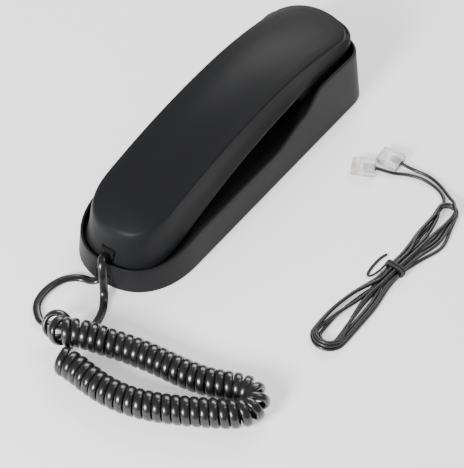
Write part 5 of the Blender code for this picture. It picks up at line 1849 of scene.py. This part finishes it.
# ------------------------------------------------------------------ small details
class Details:
    """The slider's ribs, the line socket's contacts and the dimples round the ear holes."""

    def slider(self) -> bpy.types.Object:
        """Three grip ribs on the ringer slider.

        Returns:
            The finished ribs.
        """
        low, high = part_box("ringer_slider")
        z = 14.0 * MM
        middle = 0.5 * (low.y + high.y)
        made = Repeat("slider_ribs", Finish.KEY).row(
            3, (low.x - 0.05 * MM, middle - 0.9 * MM, z), (0.0, 0.9 * MM, 0.0),
            (0.5 * MM, 0.35 * MM, 1.8 * MM))
        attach(made, "ringer_slider")
        return made

    def socket_contacts(self) -> bpy.types.Object:
        """Four sprung contacts in the line socket.

        Returns:
            The finished contacts.
        """
        low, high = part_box("line_jack")
        made = Repeat("line_socket_contacts", Finish.GOLD).row(
            4, (low.x + 8.6 * MM, 70.0 * MM - 1.53 * MM, 6.9 * MM), (0.0, 1.02 * MM, 0.0),
            (6.0 * MM, 0.35 * MM, 0.35 * MM), (0.0, 0.35, 0.0))
        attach(made, "base")
        return made

    def ear_rims(self) -> bpy.types.Object:
        """Raised dimples in a circle round the ear holes.

        Returns:
            The finished dimples.
        """
        made = Repeat("ear_ring_dimples", Finish.HANDSET).circle(
            12, 9.0 * MM, (0.0, Handset.ear_y, FORM.ear_face), 0.5 * MM, 0.24 * MM)
        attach(made, "handset")
        return made


@dataclass(frozen=True)
class CarriedOver:
    """The CAD pieces that keep their shape and get a finish."""

    finishes: dict[Finish, tuple[str, ...]] = field(default_factory=lambda: {
        Finish.BASE: ("base_plate", "hook_plunger"),
        Finish.RUBBER: ("foot_1", "foot_2", "foot_3", "foot_4", "key_mat", "receiver_gasket",
                        "microphone_boot"),
        Finish.STEEL: ("base_screw_1", "base_screw_2", "base_screw_3", "handset_screw_1",
                       "handset_screw_2", "hook_spring"),
        Finish.BOARD: ("base_circuit_board", "handset_circuit_board"),
        Finish.SOCKET: ("base_cord_jack", "handset_cord_jack", "line_jack", "hook_switch",
                        "volume_switch"),
        Finish.CAPSULE: ("receiver_capsule", "microphone_capsule", "ringer_buzzer"),
        Finish.KEY: ("ringer_slider",)})

    def dress(self) -> None:
        """Give each piece its finish."""
        for finish, names in self.finishes.items():
            for name in names:
                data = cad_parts[name].data
                data.materials.clear()
                data.materials.append(finish.material)


# ------------------------------------------------------------------ studio
@dataclass
class Studio:
    """A white floor, soft lights and the camera."""

    eye: Point = (0.3877, -0.5146, 0.6990)
    look: Point = (-0.3866, 0.5235, -0.7593)
    up: Point = (-0.4511, 0.6108, 0.6508)
    lens: float = 144.2
    floor_side: float = 3.0
    floor_glow: float = 0.6
    surround: float = 0.38

    def floor(self) -> bpy.types.Object:
        """A plain white floor."""
        side = self.floor_side
        data = bpy.data.meshes.new("studio_floor")
        data.from_pydata([(-side, -side, 0.0), (side, -side, 0.0), (side, side, 0.0),
                          (-side, side, 0.0)], [], [(0, 1, 2, 3)])
        graph = Graph("floor_white")
        graph.dress(Base_Color=(1.0, 1.0, 1.0, 1.0), Roughness=0.9,
                    Emission_Color=(1.0, 1.0, 1.0, 1.0), Emission_Strength=self.floor_glow,
                    Specular_IOR_Level=0.1)
        data.materials.append(graph.material)
        made = placed("studio_floor", data)
        return made

    def world(self) -> None:
        """An even bright surround."""
        world = bpy.data.worlds.new("studio_world")
        world.use_nodes = True
        shade = world.node_tree.nodes["Background"]
        shade.inputs["Color"].default_value = (1.0, 1.0, 1.0, 1.0)
        shade.inputs["Strength"].default_value = self.surround
        bpy.context.scene.world = world

    def light(self, name: str, place: Point, aim: Point, size: tuple[float, float],
              power: float) -> None:
        """Add one soft rectangular light.

        Args:
            name: Its name.
            place: Where it stands.
            aim: What it points at.
            size: Its width and height.
            power: Its power in watts.
        """
        data = bpy.data.lights.new(name, "AREA")
        data.shape = "RECTANGLE"
        data.size, data.size_y = size
        data.energy = power
        made = placed(name, data)
        made.location = place
        made.rotation_euler = (Vector(aim) - Vector(place)).to_track_quat("-Z", "Y").to_euler()

    def camera(self) -> None:
        """The camera at the viewing angle of the portrait."""
        data = bpy.data.cameras.new("portrait")
        data.lens = self.lens
        data.sensor_width = 36.0
        data.sensor_fit = "HORIZONTAL"
        made = placed("portrait", data)
        back = -Vector(self.look).normalized()
        right = Vector(self.up).cross(back).normalized()
        turn = Matrix((right, back.cross(right), back)).transposed()
        made.matrix_world = Matrix.Translation(self.eye) @ turn.to_4x4()
        bpy.context.scene.camera = made

    def build(self) -> None:
        """Set everything up."""
        self.floor()
        self.world()
        self.light("back", (-0.35, 0.95, 0.78), (0.0, 0.0, 0.0), (0.9, 0.5), 12.0)
        self.light("front", (0.0, -0.9, 0.5), (0.04, -0.1, 0.0), (0.28, 0.28), 16.0)
        self.light("edge", (0.38, 0.62, 1.0), (0.0, 0.0, 0.03), (0.12, 0.7), 2.5)
        self.camera()


# ------------------------------------------------------------------ all of it
def main() -> None:
    """Build every piece in order and report it."""
    logging.basicConfig(level=logging.INFO, format="%(message)s")
    Studio().build()
    plugs = {plug.name: plug.make() for plug in PLUGS}
    CurlyCord().make([plugs["base_plug"][0], plugs["handset_plug"][0]])
    line = LineCord()
    line.make([*plugs["line_plug_first"], *plugs["line_plug_second"], line.make_tie()])
    base = BaseHousing()
    base.make()
    base.slider_marks()
    LOG.info("base housing")
    handset = Handset()
    handset.make_back()
    handset.make_front()
    LOG.info("handset shells")
    keypad = Keypad()
    for spot in keypad.spots():
        keypad.make_cap(spot)
        keypad.make_legend(spot)
    LOG.info("keypad")
    details = Details()
    details.slider()
    details.socket_contacts()
    details.ear_rims()
    CarriedOver().dress()
    LOG.info("details and finishes")


if __name__ == "__main__":
    main()
